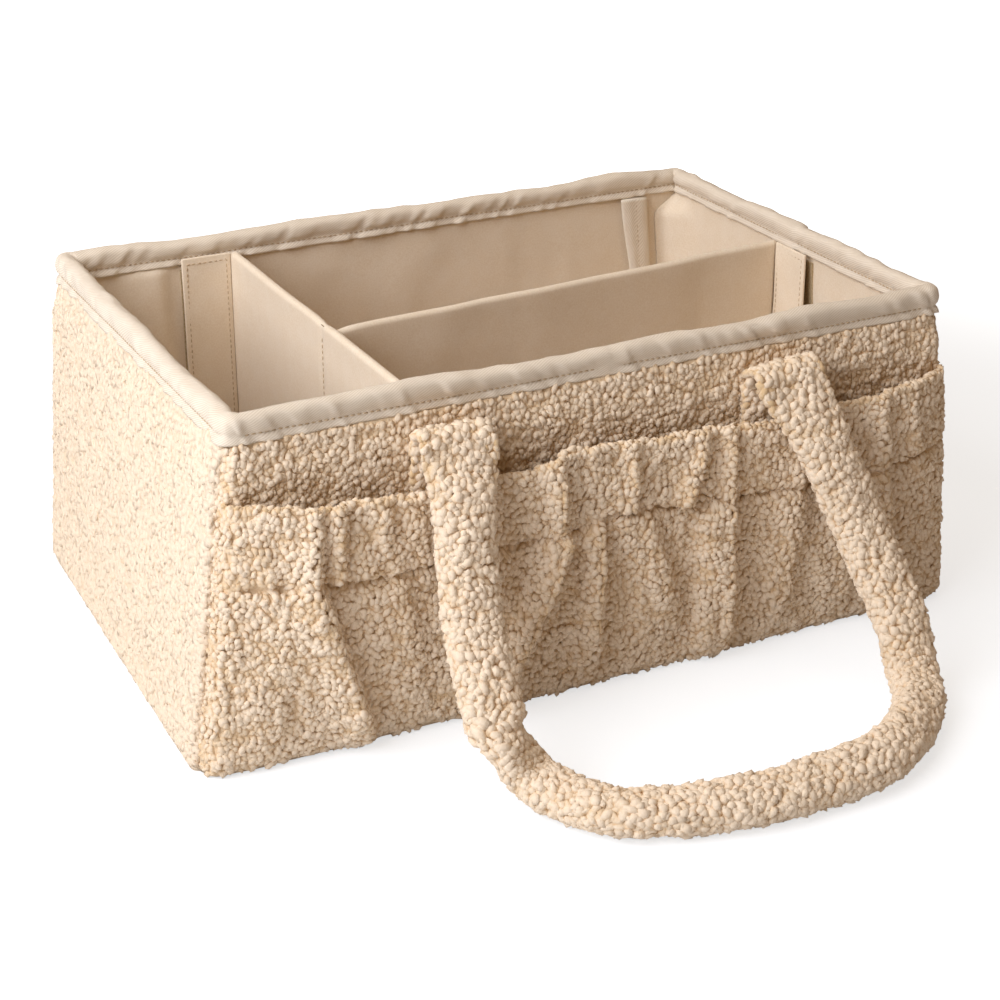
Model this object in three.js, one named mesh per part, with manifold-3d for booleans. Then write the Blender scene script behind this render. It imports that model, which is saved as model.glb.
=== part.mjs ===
// A soft caddy for nursery things: a fleece box with stiffened walls, a tape-bound rim, a gathered pocket and a
// folded-down carrying handle on each long side, and a lift-out T divider held by hook-and-loop tabs.
// Millimetres, +Z up, floor at Z 0. The long sides face -Y (front) and +Y (back).
import * as THREE from 'three';
import { mergeVertices } from 'three/addons/utils/BufferGeometryUtils.js';
import Module from 'manifold-3d';

const wasm = await Module();
wasm.setup();

// Box, measured over the rim binding
const rimLength = 380;
const rimWidth = 252;
const height = 172;
const endLean = 15; // each end wall stands this much further out at the floor than at the rim
const cornerRadius = 13;
const pileRelief = 4; // the fleece stands this much proud of the binding

// Layers of the walls and the base
const fleece = 7;
const board = 2.5;
const lining = 1;
const basePanel = 3;
const baseBoard = 3;
const bindingTape = 1.2;
const bindingDrop = 13;
const layerGap = 0.2;
const seamGap = 0.3;

// Bound seam allowance turned flat against one wall inside each corner
const allowanceWidth = 20;
const allowanceThickness = 4.4;

// Gathered pocket
const pocketDrop = 44; // the pocket's top edge lies this far below the rim
const pocketSideRise = 6;
const pocketFoot = 1.5;
const pocketPly = 2.6;
const hemPly = 1.2;
const casingSlot = 1.8;
const casingDepth = 40;
const mouthGape = 8.5;
const elasticWidth = 25;
const elastic = 1.2;
const gatherHeight = 1;
const gatherPitch = 31;

// Handle strap
const strapWidth = 31;
const gripWidth = 27;
const strapThickness = 20;
const strapPly = 3;
const strapEndWidth = 40;
const strapEndThickness = 7;
const tabLength = 40;
const foldDrop = 14; // the strap folds over this far below the rim
const foldX = 88; // each end of the handle is sewn this far from the middle
const leftFootX = -98; // where the two legs reach the bend above the floor
const rightFootX = 122;
const bendOut = 73; // the bend's distance from the wall and its height
const bendHeight = 36;
const gripReach = 70; // from the bend out to the far end of the loop

// T divider
const crossX = -95;
const crossDrop = 9; // the cross panel's top edge lies this far below the rim
const longDrop = 2; // and the long panel's this far below that
const longRootY = -15;
const longSkew = THREE.MathUtils.degToRad(4.4);
const panel = 5;
const panelPly = 1;
const tabWidth = 27.5;
const tabPly = 1.6;
const hookTape = 1.2;
const loopTape = 1;
const tapeFoot = 25;
const liftClearance = 0.5;

// Sizes that follow from the ones above
const halfLength = rimLength / 2 + pileRelief;
const halfWidth = rimWidth / 2 + pileRelief;
const arcX = halfLength - cornerRadius; // centre of each corner's curve
const arcY = halfWidth - cornerRadius;
const boardInset = fleece + layerGap;
const liningInset = boardInset + board + layerGap;
const liningFace = liningInset + lining;
const bindingFace = liningFace + layerGap + bindingTape;
const wallTop = height - bindingTape - layerGap;
const bindingFoot = height - bindingDrop;
const baseBoardFoot = basePanel + layerGap;
const baseLiningFoot = baseBoardFoot + baseBoard + layerGap;
const floorTop = baseLiningFoot + lining;
const wallFoot = floorTop + layerGap;
const pocketTop = height - pocketDrop;
const pocketThickness = pocketPly + casingSlot + hemPly;
const pocketHem = pocketTop - casingDepth;
const pocketHalf = arcX + cornerRadius / 4;
const foldTop = height - foldDrop;
const crossTop = height - crossDrop;
const longTop = crossTop - longDrop;
const dividerFoot = floorTop + 2 * layerGap;
const overlap = 10; // how far a cutting shape runs past what it cuts

const fleeceLook = { color: '#e2cfae', roughness: 1 };
const liningLook = { color: '#cfb68d', roughness: 0.95 };
const tapeLook = { color: '#efe3cf', roughness: 0.9 };
const boardLook = { color: '#8d7758', roughness: 0.9 };
const elasticLook = { color: '#f3efe6', roughness: 0.85 };
const paddingLook = { color: '#f6f4ef', roughness: 1 };
const hookLook = { color: '#7c6a52', roughness: 0.95 };
const loopLook = { color: '#bda680', roughness: 1 };

// Turns a geometry into a solid that can be cut, and back
function solidOf(geometry) {
  const bare = geometry.clone();
  bare.deleteAttribute('normal');
  bare.deleteAttribute('uv');
  const merged = mergeVertices(bare, 1e-4);
  const vertProperties = new Float32Array(merged.attributes.position.array);
  const triVerts = new Uint32Array(merged.index.array);
  return new wasm.Manifold(new wasm.Mesh({ numProp: 3, vertProperties, triVerts }));
}

function geometryOf(solid) {
  const mesh = solid.getMesh();
  const geometry = new THREE.BufferGeometry();
  geometry.setAttribute('position', new THREE.BufferAttribute(mesh.vertProperties, 3));
  geometry.setIndex(new THREE.BufferAttribute(mesh.triVerts, 1));
  geometry.computeVertexNormals();
  return geometry;
}

function piece(name, geometry, look) {
  const mesh = new THREE.Mesh(geometry, new THREE.MeshStandardMaterial({ ...look, metalness: 0 }));
  mesh.name = name;
  return mesh;
}

// How far the end walls have leaned out at a height
function leanAt(z) {
  return endLean * (1 - z / height);
}

function lean(geometry) {
  const points = geometry.attributes.position;
  for (let i = 0; i < points.count; i++) {
    const x = points.getX(i);
    points.setX(i, x + Math.sign(x) * leanAt(points.getZ(i)));
  }
  return geometry;
}

function upright(shape, foot, top) {
  const depth = top - foot;
  const geometry = new THREE.ExtrudeGeometry(shape, { depth, bevelEnabled: false, curveSegments: 5 });
  return geometry.translate(0, 0, foot);
}

function block(x0, x1, y0, y1, z0, z1) {
  const geometry = new THREE.BoxGeometry(x1 - x0, y1 - y0, z1 - z0);
  return geometry.translate((x0 + x1) / 2, (y0 + y1) / 2, (z0 + z1) / 2);
}

// Plan of the box, drawn in from the outer fleece face by an inset
function plan(inset) {
  const radius = cornerRadius - inset;
  const shape = new THREE.Shape();
  shape.absarc(arcX, -arcY, radius, -Math.PI / 2, 0);
  shape.absarc(arcX, arcY, radius, 0, Math.PI / 2);
  shape.absarc(-arcX, arcY, radius, Math.PI / 2, Math.PI);
  shape.absarc(-arcX, -arcY, radius, Math.PI, Math.PI * 1.5);
  return shape;
}

function ring(outerInset, innerInset, foot, top) {
  const shape = plan(outerInset);
  shape.holes.push(plan(innerInset));
  return solidOf(lean(upright(shape, foot, top)));
}

// The part of a ring that belongs to one wall: it ends at the seams, halfway round the corners
function wallOf(side, whole) {
  const away = cornerRadius + overlap;
  const trim = seamGap / Math.SQRT2;
  const sideways = side === 'left' || side === 'right';
  const sign = side === 'front' || side === 'left' ? -1 : 1;
  const along = (sideways ? arcY : arcX) - trim;
  const across = (sideways ? arcX : arcY) * sign;
  const far = across + away * sign;
  const corners = [[-along, across], [-along - away, far], [along + away, far], [along, across]];
  const points = corners.map(([a, b]) => (sideways ? new THREE.Vector2(b, a) : new THREE.Vector2(a, b)));
  const wedge = lean(upright(new THREE.Shape(points), -overlap, height + overlap));
  return geometryOf(whole.intersect(solidOf(wedge)));
}

function wallPieces() {
  const fleeceRing = ring(0, fleece, 0, wallTop).subtract(
    ring(-overlap, pileRelief + bindingTape + layerGap, bindingFoot - layerGap, height + overlap),
  );
  const liningRing = ring(liningInset, liningFace, wallFoot, wallTop);
  return ['front', 'back', 'left', 'right'].flatMap((side) => [
    piece(`${side}_outer_panel`, wallOf(side, fleeceRing), fleeceLook),
    piece(`${side}_wall_board`, wallBoard(side), boardLook),
    piece(`${side}_lining`, wallOf(side, liningRing), liningLook),
  ]);
}

function wallBoard(side) {
  const sideways = side === 'left' || side === 'right';
  const sign = side === 'front' || side === 'left' ? -1 : 1;
  const outside = (sideways ? halfLength : halfWidth) - boardInset;
  const faces = [outside * sign, (outside - board) * sign].sort((a, b) => a - b);
  const flat = sideways ? [...faces, -arcY, arcY] : [-arcX, arcX, ...faces];
  return lean(block(...flat, baseBoardFoot, wallTop));
}

function basePieces() {
  const layer = (inset, foot, thickness) => lean(upright(plan(inset), foot, foot + thickness));
  return [
    piece('base_outer_panel', layer(boardInset, 0, basePanel), fleeceLook),
    piece('base_board', layer(liningInset, baseBoardFoot, baseBoard), boardLook),
    piece('base_lining', layer(liningInset, baseLiningFoot, lining), liningLook),
  ];
}

function rimBinding() {
  const whole = ring(pileRelief, bindingFace, bindingFoot, height);
  const channel = ring(
    pileRelief + bindingTape,
    bindingFace - bindingTape,
    bindingFoot - overlap,
    height - bindingTape,
  );
  return piece('rim_binding', geometryOf(whole.subtract(channel)), tapeLook);
}

function seamAllowance(name, signX, signY, onEndWall) {
  const radius = allowanceThickness / 2;
  const inset = liningFace + layerGap + radius;
  const near = (onEndWall ? arcY : arcX) - radius - cornerRadius * 1.3;
  const far = near - allowanceWidth + allowanceThickness;
  const [low, high] = (onEndWall ? signY : signX) > 0 ? [far, near] : [-near, -far];
  const shape = new THREE.Shape();
  if (onEndWall) {
    const x = signX * (halfLength - inset);
    shape.absarc(x, high, radius, 0, Math.PI);
    shape.absarc(x, low, radius, Math.PI, Math.PI * 2);
  } else {
    const y = signY * (halfWidth - inset);
    shape.absarc(high, y, radius, -Math.PI / 2, Math.PI / 2);
    shape.absarc(low, y, radius, Math.PI / 2, Math.PI * 1.5);
  }
  return piece(name, lean(upright(shape, wallFoot, bindingFoot - layerGap)), tapeLook);
}

// A closed skin through rings of as many points each, which turn anticlockwise about the way they follow each
// other. The faces over the two ends are cut from the flat outlines given.
function loft(rings, flatten) {
  const count = rings[0].length;
  const last = (rings.length - 1) * count;
  const index = [];
  for (let i = 0; i < last; i += count) {
    for (let k = 0; k < count; k++) {
      const a = i + k;
      const b = i + ((k + 1) % count);
      index.push(a, b, b + count, a, b + count, a + count);
    }
  }
  for (const [a, b, c] of THREE.ShapeUtils.triangulateShape(flatten(rings[0]), [])) index.push(a, c, b);
  for (const [a, b, c] of THREE.ShapeUtils.triangulateShape(flatten(rings.at(-1)), [])) {
    index.push(last + a, last + b, last + c);
  }
  const geometry = new THREE.BufferGeometry().setFromPoints(rings.flat());
  geometry.setIndex(index);
  geometry.computeVertexNormals();
  return geometry;
}

// Pocket folds: where each ridge is at the casing seam and at the foot, its width and its height
const pocketFolds = [
  { seamX: -151, footX: -119, width: 15, rise: 6 },
  { seamX: -34, footX: -67, width: 16, rise: 6 },
  { seamX: 53, footX: 55, width: 14, rise: 6 },
  { seamX: 141, footX: 147, width: 16, rise: 4 },
];

function pocketTopAt(across) {
  return pocketTop + pocketSideRise * Math.abs(across) ** 5;
}

function foldsAt(x, z) {
  const down = THREE.MathUtils.clamp((pocketHem - z) / (pocketHem - pocketFoot), 0, 1);
  const ridges = pocketFolds.map(({ seamX, footX, width, rise }) => {
    const centre = THREE.MathUtils.lerp(seamX, footX, down);
    return rise * Math.exp(-(((x - centre) / width) ** 2)) * (1 - down ** 2);
  });
  const gathers = gatherHeight * (1 + Math.sin((2 * Math.PI * x) / gatherPitch)) * (1 - down);
  return ridges.reduce((sum, ridge) => sum + ridge, gathers);
}

// Distance of the pocket's inner face from the wall: none at the sewn sides and foot, the gape at the mouth
function pocketGapAt(across, z) {
  const fromSide = THREE.MathUtils.smoothstep(1 - Math.abs(across), 0, 0.22);
  const fromFoot = THREE.MathUtils.smoothstep(z, pocketFoot - 25, pocketHem - 25);
  const spread = mouthGape + foldsAt(across * pocketHalf, Math.min(z, pocketHem));
  return layerGap + fromSide * fromFoot * spread;
}

function pocketRing(across, profile) {
  const top = pocketTopAt(across);
  return profile.map(({ depth, share, below }) => {
    const [low, high] = below ? [pocketFoot, pocketHem] : [pocketHem, top];
    const z = THREE.MathUtils.lerp(low, high, share);
    const x = across * (pocketHalf + leanAt(z));
    return new THREE.Vector3(x, -(halfWidth + pocketGapAt(across, z) + depth), z);
  });
}

function pocketLoft(profile) {
  const columns = 46;
  const rings = [];
  for (let i = 0; i <= columns; i++) rings.push(pocketRing((2 * i) / columns - 1, profile));
  return loft(rings, (points) => points.map((p) => new THREE.Vector2(p.y, p.z)));
}

// The pocket's top hem is turned in and sewn down, which leaves a casing for the elastic
function pocketPanel() {
  const casingDeep = hemPly + casingSlot;
  const slotTop = 0.94;
  const profile = [
    { depth: casingDeep, share: 0, below: true },
    { depth: casingDeep, share: 0.33, below: true },
    { depth: casingDeep, share: 0.66, below: true },
    { depth: casingDeep, share: 0 },
    { depth: casingDeep, share: slotTop },
    { depth: hemPly, share: slotTop },
    { depth: hemPly, share: 0 },
    { depth: 0, share: 0 },
    { depth: 0, share: slotTop },
    { depth: pocketThickness * 0.3, share: 1 },
    { depth: pocketThickness * 0.7, share: 1 },
    { depth: pocketThickness, share: slotTop },
    { depth: pocketThickness, share: 0 },
    { depth: pocketThickness, share: 0.66, below: true },
    { depth: pocketThickness, share: 0.33, below: true },
    { depth: pocketThickness, share: 0, below: true },
  ];
  return pocketLoft(profile);
}

function pocketElastic() {
  const play = (casingSlot - elastic) / 2;
  const near = hemPly + play;
  const far = near + elastic;
  const low = (1 - elasticWidth / casingDepth) / 2;
  const high = low + elasticWidth / casingDepth;
  return pocketLoft([
    { depth: far, share: low },
    { depth: near, share: low },
    { depth: near, share: high },
    { depth: far, share: high },
  ]);
}

// One ring of the strap: a flattened round, square to the way the strap runs
function strapRing(centre, along, side, width, thickness) {
  const count = 12;
  const flatness = 0.62;
  const up = along.clone().cross(side);
  const squash = (value) => Math.sign(value) * Math.abs(value) ** flatness;
  const points = [];
  for (let k = 0; k < count; k++) {
    const angle = (2 * Math.PI * (k + 0.5)) / count;
    const point = centre.clone();
    point.addScaledVector(side, (squash(Math.cos(angle)) * width) / 2);
    point.addScaledVector(up, (squash(Math.sin(angle)) * thickness) / 2);
    points.push(point);
  }
  return points;
}

function strapLoft(stations, inset) {
  const rings = stations.map(({ centre, along, side, width, thickness }) =>
    strapRing(centre, along, side, width - 2 * inset, thickness - 2 * inset),
  );
  const outline = (points) => {
    const middle = points.reduce((sum, p) => sum.add(p), new THREE.Vector3()).divideScalar(points.length);
    const right = points[0].clone().sub(middle).normalize();
    const normal = points[1].clone().sub(middle).cross(right).normalize().negate();
    const up = normal.clone().cross(right);
    const spokes = points.map((p) => p.clone().sub(middle));
    return spokes.map((spoke) => new THREE.Vector2(spoke.dot(right), spoke.dot(up)));
  };
  return loft(rings, outline);
}

// The fold over which the strap turns down: its ends rise along the wall, and it turns outwards about this line
const tabY = -(halfWidth + layerGap + strapEndThickness / 2);
const foldRadius = strapEndThickness / 2 + 3;
const foldY = tabY - foldRadius;
const foldZ = foldTop - strapEndThickness / 2 - foldRadius;
const acrossX = new THREE.Vector3(1, 0, 0);

function foldStation(x, turn) {
  const centre = new THREE.Vector3(x, foldY + foldRadius * Math.cos(turn), foldZ + foldRadius * Math.sin(turn));
  const along = new THREE.Vector3(0, -Math.sin(turn), Math.cos(turn));
  return { centre, along, side: acrossX, width: strapEndWidth, thickness: strapEndThickness };
}

function handleTab(x) {
  const start = foldStation(x, 0);
  const low = { ...start, centre: start.centre.clone().setZ(foldZ - tabLength) };
  const splitTurn = Math.PI / 2 - seamGap / foldRadius;
  return strapLoft([low, start, foldStation(x, splitTurn / 2), foldStation(x, splitTurn)], 0);
}

// The legs hang clear of the pocket and slope out to the bend above the floor
function legStations(footX) {
  const x = Math.sign(footX) * foldX;
  const pocketFace = halfWidth + mouthGape + pocketThickness + 2 * gatherHeight + layerGap;
  const path = new THREE.CatmullRomCurve3([
    new THREE.Vector3(x, foldY - foldRadius, foldZ),
    new THREE.Vector3(THREE.MathUtils.lerp(x, footX, 0.3), -(pocketFace + strapThickness / 2), pocketTop - 4),
    new THREE.Vector3(THREE.MathUtils.lerp(x, footX, 0.8), -(halfWidth + bendOut * 0.62), pocketTop * 0.58),
    new THREE.Vector3(footX, -(halfWidth + bendOut), bendHeight),
  ]);
  const stations = [Math.PI / 2, Math.PI * 0.75].map((turn) => foldStation(x, turn));
  const steps = 9;
  for (let i = 1; i <= steps; i++) {
    const share = i / steps;
    const fill = THREE.MathUtils.smoothstep(share, 0, 0.45);
    const along = path.getTangent(share).setX(0).normalize();
    stations.push({
      centre: path.getPoint(share),
      along,
      side: acrossX,
      width: THREE.MathUtils.lerp(strapEndWidth, strapWidth, fill),
      thickness: THREE.MathUtils.lerp(strapEndThickness, strapThickness, fill),
    });
  }
  return stations;
}

// The loop lies out on the floor. Each row has the share of the way between the legs, the share of the reach,
// the height and the roll in degrees.
const loopPath = [
  [0.05, 0.14, 15, 0],
  [0.09, 0.39, 10.5, 0],
  [0.15, 0.68, 10.5, 5],
  [0.25, 0.84, 10.5, 12],
  [0.36, 0.94, 11, 18],
  [0.48, 1, 11.5, 25],
  [0.62, 1, 12, 32],
  [0.74, 0.95, 12.5, 36],
  [0.86, 0.73, 12.5, 36],
  [0.95, 0.45, 12.5, 28],
  [0.99, 0.2, 16, 15],
];

function gripStations(leftFoot, rightFoot) {
  const start = leftFoot.centre.clone().addScaledVector(leftFoot.along, seamGap);
  const end = rightFoot.centre.clone().addScaledVector(rightFoot.along, seamGap);
  const loop = loopPath.map(([share, reach, z]) => {
    const x = THREE.MathUtils.lerp(leftFootX, rightFootX, share);
    return new THREE.Vector3(x, -(halfWidth + bendOut + gripReach * reach), z);
  });
  const path = new THREE.CatmullRomCurve3([start, ...loop, end]);
  const rolls = [0, ...loopPath.map((point) => point[3]), 0];
  const steps = 22;
  const stations = [];
  for (let i = 0; i <= steps; i++) {
    const share = i / steps;
    const place = share * (rolls.length - 1);
    const before = Math.min(Math.floor(place), rolls.length - 2);
    const roll = THREE.MathUtils.lerp(rolls[before], rolls[before + 1], place - before);
    const along = path.getTangentAt(share);
    const level = new THREE.Vector3(-along.y, along.x, 0).normalize();
    const side = level.applyAxisAngle(along, THREE.MathUtils.degToRad(roll));
    const inGrip = THREE.MathUtils.smoothstep(Math.min(share, 1 - share), 0, 0.2);
    const width = THREE.MathUtils.lerp(strapWidth, gripWidth, inGrip);
    stations.push({ centre: path.getPointAt(share), along, side, width, thickness: strapThickness });
  }
  Object.assign(stations[0], { along: leftFoot.along, side: acrossX });
  Object.assign(stations[steps], { along: rightFoot.along.clone().negate(), side: acrossX.clone().negate() });
  return stations.map(clearOfFloor);
}

function clearOfFloor(station) {
  const { centre, along, side, width, thickness } = station;
  const lowest = Math.min(...strapRing(centre, along, side, width, thickness).map((p) => p.z));
  return { ...station, centre: centre.clone().setZ(centre.z + Math.max(0, seamGap - lowest)) };
}

function moved(station, distance) {
  return { ...station, centre: station.centre.clone().addScaledVector(station.along, distance) };
}

// A fleece tube round its padding, open where it meets the rest of the strap: at its end, or at both ends
function paddedStrap(name, stations, bothEnds) {
  const padded = stations.filter((station) => station.thickness > strapThickness / 2);
  const hollow = [...padded, moved(padded.at(-1), overlap)];
  if (bothEnds) hollow.unshift(moved(padded[0], -overlap));
  const tube = solidOf(strapLoft(stations, 0)).subtract(solidOf(strapLoft(hollow, strapPly)));
  const filling = bothEnds ? padded : padded.slice(1);
  return [
    piece(name, geometryOf(tube), fleeceLook),
    piece(`${name}_padding`, strapLoft(filling, strapPly + seamGap), paddingLook),
  ];
}

// Everything sewn to one long side: pocket, elastic, handle tabs and the handle itself
function longSide(side) {
  const left = legStations(leftFootX);
  const right = legStations(rightFootX);
  const grip = gripStations(left.at(-1), right.at(-1));
  const group = new THREE.Group();
  group.add(
    piece(`${side}_pocket_panel`, pocketPanel(), fleeceLook),
    piece(`${side}_pocket_elastic`, pocketElastic(), elasticLook),
    piece(`${side}_handle_left_tab`, handleTab(-foldX), fleeceLook),
    piece(`${side}_handle_right_tab`, handleTab(foldX), fleeceLook),
    ...paddedStrap(`${side}_handle_left_leg`, left, false),
    ...paddedStrap(`${side}_handle_right_leg`, right, false),
    ...paddedStrap(`${side}_handle_grip`, grip, true),
  );
  return group;
}

// Faces of the divider's ends, set so that the divider lifts out past the binding
const hookFaceY = halfWidth - bindingFace - liftClearance;
const tabBackY = hookFaceY - hookTape - layerGap;
const hookFaceX = halfLength - bindingFace - liftClearance;
const tabBackX = hookFaceX - hookTape - layerGap;
const crossLeft = crossX - panel / 2;
const longRootX = crossX + panel / 2 + seamGap;
const longLength = (tabBackX - longRootX - (panel / 2) * Math.sin(longSkew)) / Math.cos(longSkew);
const longTabY = longRootY + longLength * Math.sin(longSkew) - panel / 2 - 2 * seamGap;

// A cloth cover round a board, open at the foot where the board goes in. It is drawn along +X.
function coveredBoard(name, outline, start, end, top) {
  const slot = panel / 2 - panelPly;
  const head = top - panelPly;
  const cavity = block(start, end, -slot, slot, dividerFoot - overlap, head);
  const cover = solidOf(upright(outline, dividerFoot, top)).subtract(solidOf(cavity));
  const fit = slot - seamGap;
  const core = block(start + seamGap, end - seamGap, -fit, fit, dividerFoot, head - seamGap);
  const group = new THREE.Group();
  group.add(
    piece(`${name}_cover`, geometryOf(cover), liningLook),
    piece(`${name}_board`, core, boardLook),
  );
  return group;
}

function flatShape(corners) {
  return new THREE.Shape(corners.map(([x, y]) => new THREE.Vector2(x, y)));
}

function crossDivider() {
  const half = panel / 2;
  const outline = flatShape([[-tabBackY, -half], [tabBackY, -half], [tabBackY, half], [-tabBackY, half]]);
  const group = coveredBoard('cross_divider', outline, panel - tabBackY, tabBackY - panel, crossTop);
  group.rotation.z = Math.PI / 2;
  group.position.x = crossX;
  return group;
}

// The long panel narrows to the seam that joins it to the cross panel, so it can swing there
function longDivider() {
  const half = panel / 2;
  const tip = panel / 8;
  const outline = flatShape([
    [0, -tip],
    [half, -half],
    [longLength, -half],
    [longLength, half],
    [half, half],
    [0, tip],
  ]);
  const group = coveredBoard('long_divider', outline, panel, longLength - panel, longTop);
  group.rotation.z = longSkew;
  group.position.set(longRootX, longRootY, 0);
  return group;
}

// Each tab carries hook tape on its back and faces a loop tape sewn to the lining
function crossTab(side, sign) {
  const right = crossLeft - seamGap;
  const left = right - tabWidth;
  const margin = 2 * tabPly;
  const between = (a, b) => (sign > 0 ? [a, b] : [-b, -a]);
  const wallY = halfWidth - liningFace - layerGap;
  const tab = block(left, right, ...between(tabBackY - tabPly, tabBackY), dividerFoot, crossTop);
  const hookY = between(tabBackY + layerGap, hookFaceY);
  const hook = block(left + margin, right - margin, ...hookY, tapeFoot, crossTop - margin);
  const loop = block(left, right, ...between(wallY - loopTape, wallY), tapeFoot, bindingFoot - margin);
  return [
    piece(`cross_divider_${side}_tab`, tab, liningLook),
    piece(`cross_divider_${side}_hook_tape`, hook, hookLook),
    piece(`${side}_wall_loop_tape`, loop, loopLook),
  ];
}

function longTab() {
  const near = longTabY - tabWidth;
  const margin = 2 * tabPly;
  const wallX = halfLength - liningFace - layerGap;
  const tab = block(tabBackX - tabPly, tabBackX, near, longTabY, dividerFoot, longTop);
  const hookX = [tabBackX + layerGap, hookFaceX];
  const hook = block(...hookX, near + margin, longTabY - margin, tapeFoot, longTop - margin);
  const loop = lean(block(wallX - loopTape, wallX, near, longTabY, tapeFoot, bindingFoot - margin));
  return [
    piece('long_divider_end_tab', tab, liningLook),
    piece('long_divider_hook_tape', hook, hookLook),
    piece('right_wall_loop_tape', loop, loopLook),
  ];
}

const caddy = new THREE.Group();
caddy.add(...wallPieces(), ...basePieces(), rimBinding());
caddy.add(
  seamAllowance('front_left_seam_binding', -1, -1, true),
  seamAllowance('front_right_seam_binding', 1, -1, false),
  seamAllowance('back_left_seam_binding', -1, 1, true),
  seamAllowance('back_right_seam_binding', 1, 1, false),
);
caddy.add(crossDivider(), ...crossTab('back', 1), ...crossTab('front', -1), longDivider(), ...longTab());

const backSide = longSide('back');
backSide.rotation.z = Math.PI;
caddy.add(longSide('front'), backSide);

export default caddy;
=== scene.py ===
import math

import bmesh
import bpy
import numpy as np
from mathutils import Matrix, Vector


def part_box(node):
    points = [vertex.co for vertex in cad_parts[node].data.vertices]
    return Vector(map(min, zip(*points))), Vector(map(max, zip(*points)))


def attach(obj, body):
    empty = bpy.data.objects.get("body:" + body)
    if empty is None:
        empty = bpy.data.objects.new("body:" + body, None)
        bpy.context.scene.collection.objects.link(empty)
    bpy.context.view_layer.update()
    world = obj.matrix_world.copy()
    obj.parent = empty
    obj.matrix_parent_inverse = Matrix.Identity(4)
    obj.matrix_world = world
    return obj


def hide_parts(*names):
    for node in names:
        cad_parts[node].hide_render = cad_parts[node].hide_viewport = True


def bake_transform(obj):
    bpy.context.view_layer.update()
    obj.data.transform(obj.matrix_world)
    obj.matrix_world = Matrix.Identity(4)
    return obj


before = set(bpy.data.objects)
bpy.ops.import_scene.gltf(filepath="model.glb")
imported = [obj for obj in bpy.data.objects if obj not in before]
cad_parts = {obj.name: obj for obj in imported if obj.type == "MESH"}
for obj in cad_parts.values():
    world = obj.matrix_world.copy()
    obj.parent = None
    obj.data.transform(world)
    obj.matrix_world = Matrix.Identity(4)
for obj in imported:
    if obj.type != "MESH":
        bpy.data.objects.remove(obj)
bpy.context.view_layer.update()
scene = bpy.context.scene
scene.view_settings.view_transform = "Standard"
print("frame loaded with", len(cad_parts), "nodes")

mm = 0.001  # sizes below are in mm, as in the part's drawing

caddyBox = {
    "arcX": 181,  # centres of the corner curves at the rim
    "arcY": 117,
    "cornerRadius": 13,  # at the outer fleece face
    "height": 172,
    "endLean": 15,  # the end walls stand this much further out at the floor
}


def smoothStep(value, low, high):
    share = np.clip((value - low) / (high - low), 0, 1)
    return share * share * (3 - 2 * share)


# 1 in the middle, falling off over the width
def bell(away, width):
    return np.exp(-((away / width) ** 2))


# points from coordinates whose shapes fit together
def xyz(x, y, z):
    return np.stack(np.broadcast_arrays(x, y, z), axis=-1)


def leanAt(z):
    return caddyBox["endLean"] * (1 - z / caddyBox["height"])


# the wall's outline seen from above: along is measured on the outer face, 0 at the middle of the front
quarterTurn = caddyBox["cornerRadius"] * math.pi / 2
runs = [caddyBox["arcX"], quarterTurn, 2 * caddyBox["arcY"], quarterTurn]
wallStops = np.cumsum([0, *runs, 2 * caddyBox["arcX"], *runs[1:], caddyBox["arcX"]])
rimLength = wallStops[-1]
coreX = caddyBox["arcX"] * np.array([0, 1, 1, 1, 1, -1, -1, -1, -1, 0])
coreY = caddyBox["arcY"] * np.array([-1, -1, -1, 1, 1, 1, 1, -1, -1, -1])
facing = np.pi / 2 * np.array([-1, -1, 0, 0, 1, 1, 2, 2, 3, 3])
cornerSeams = (wallStops[1:9:2] + wallStops[2:10:2]) / 2  # front right, back right, back left, front left


def onWall(along, inset, z):
    place = np.mod(along, rimLength)
    angle = np.interp(place, wallStops, facing)
    reach = caddyBox["cornerRadius"] - inset
    spread = 1 + leanAt(z) / caddyBox["arcX"]
    x = np.interp(place, wallStops, coreX) * spread + reach * np.cos(angle)
    y = np.interp(place, wallStops, coreY) + reach * np.sin(angle)
    return xyz(x, y, z)


# signed distance from a place on the ring, the short way round
def pastPlace(along, place):
    return np.mod(along - place + rimLength / 2, rimLength) - rimLength / 2


# even random numbers from whole cell numbers, the same in each run
def cellChance(i, j, seed):
    value = np.sin(i * 127.1 + j * 311.7 + seed * 74.7) * 43758.5453
    return value - np.floor(value)


# soft bumps from -1 to 1
def softNoise(x, y, size, seed):
    column, row = np.floor(x / size), np.floor(y / size)
    shareX, shareY = smoothStep(x / size - column, 0, 1), smoothStep(y / size - row, 0, 1)
    low = cellChance(column, row, seed) * (1 - shareX) + cellChance(column + 1, row, seed) * shareX
    high = cellChance(column, row + 1, seed) * (1 - shareX) + cellChance(column + 1, row + 1, seed) * shareX
    return 2 * (low * (1 - shareY) + high * shareY) - 1


# soft bumps along one line
def softLine(x, size, seed):
    return softNoise(x, 0 * x, size, seed)


def stopsBetween(low, high, step):
    return np.linspace(low, high, max(2, round(abs(high - low) / step) + 1))


def unit(vectors):
    return vectors / np.maximum(np.linalg.norm(vectors, axis=-1, keepdims=True), 1e-9)


def lengthAlong(points):
    return np.concatenate([[0], np.cumsum(np.linalg.norm(np.diff(points, axis=0), axis=1))])


def meshFrom(name, work):
    mesh = bpy.data.meshes.new(name)
    work.to_mesh(mesh)
    work.free()
    mesh.shade_smooth()
    return mesh


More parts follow.
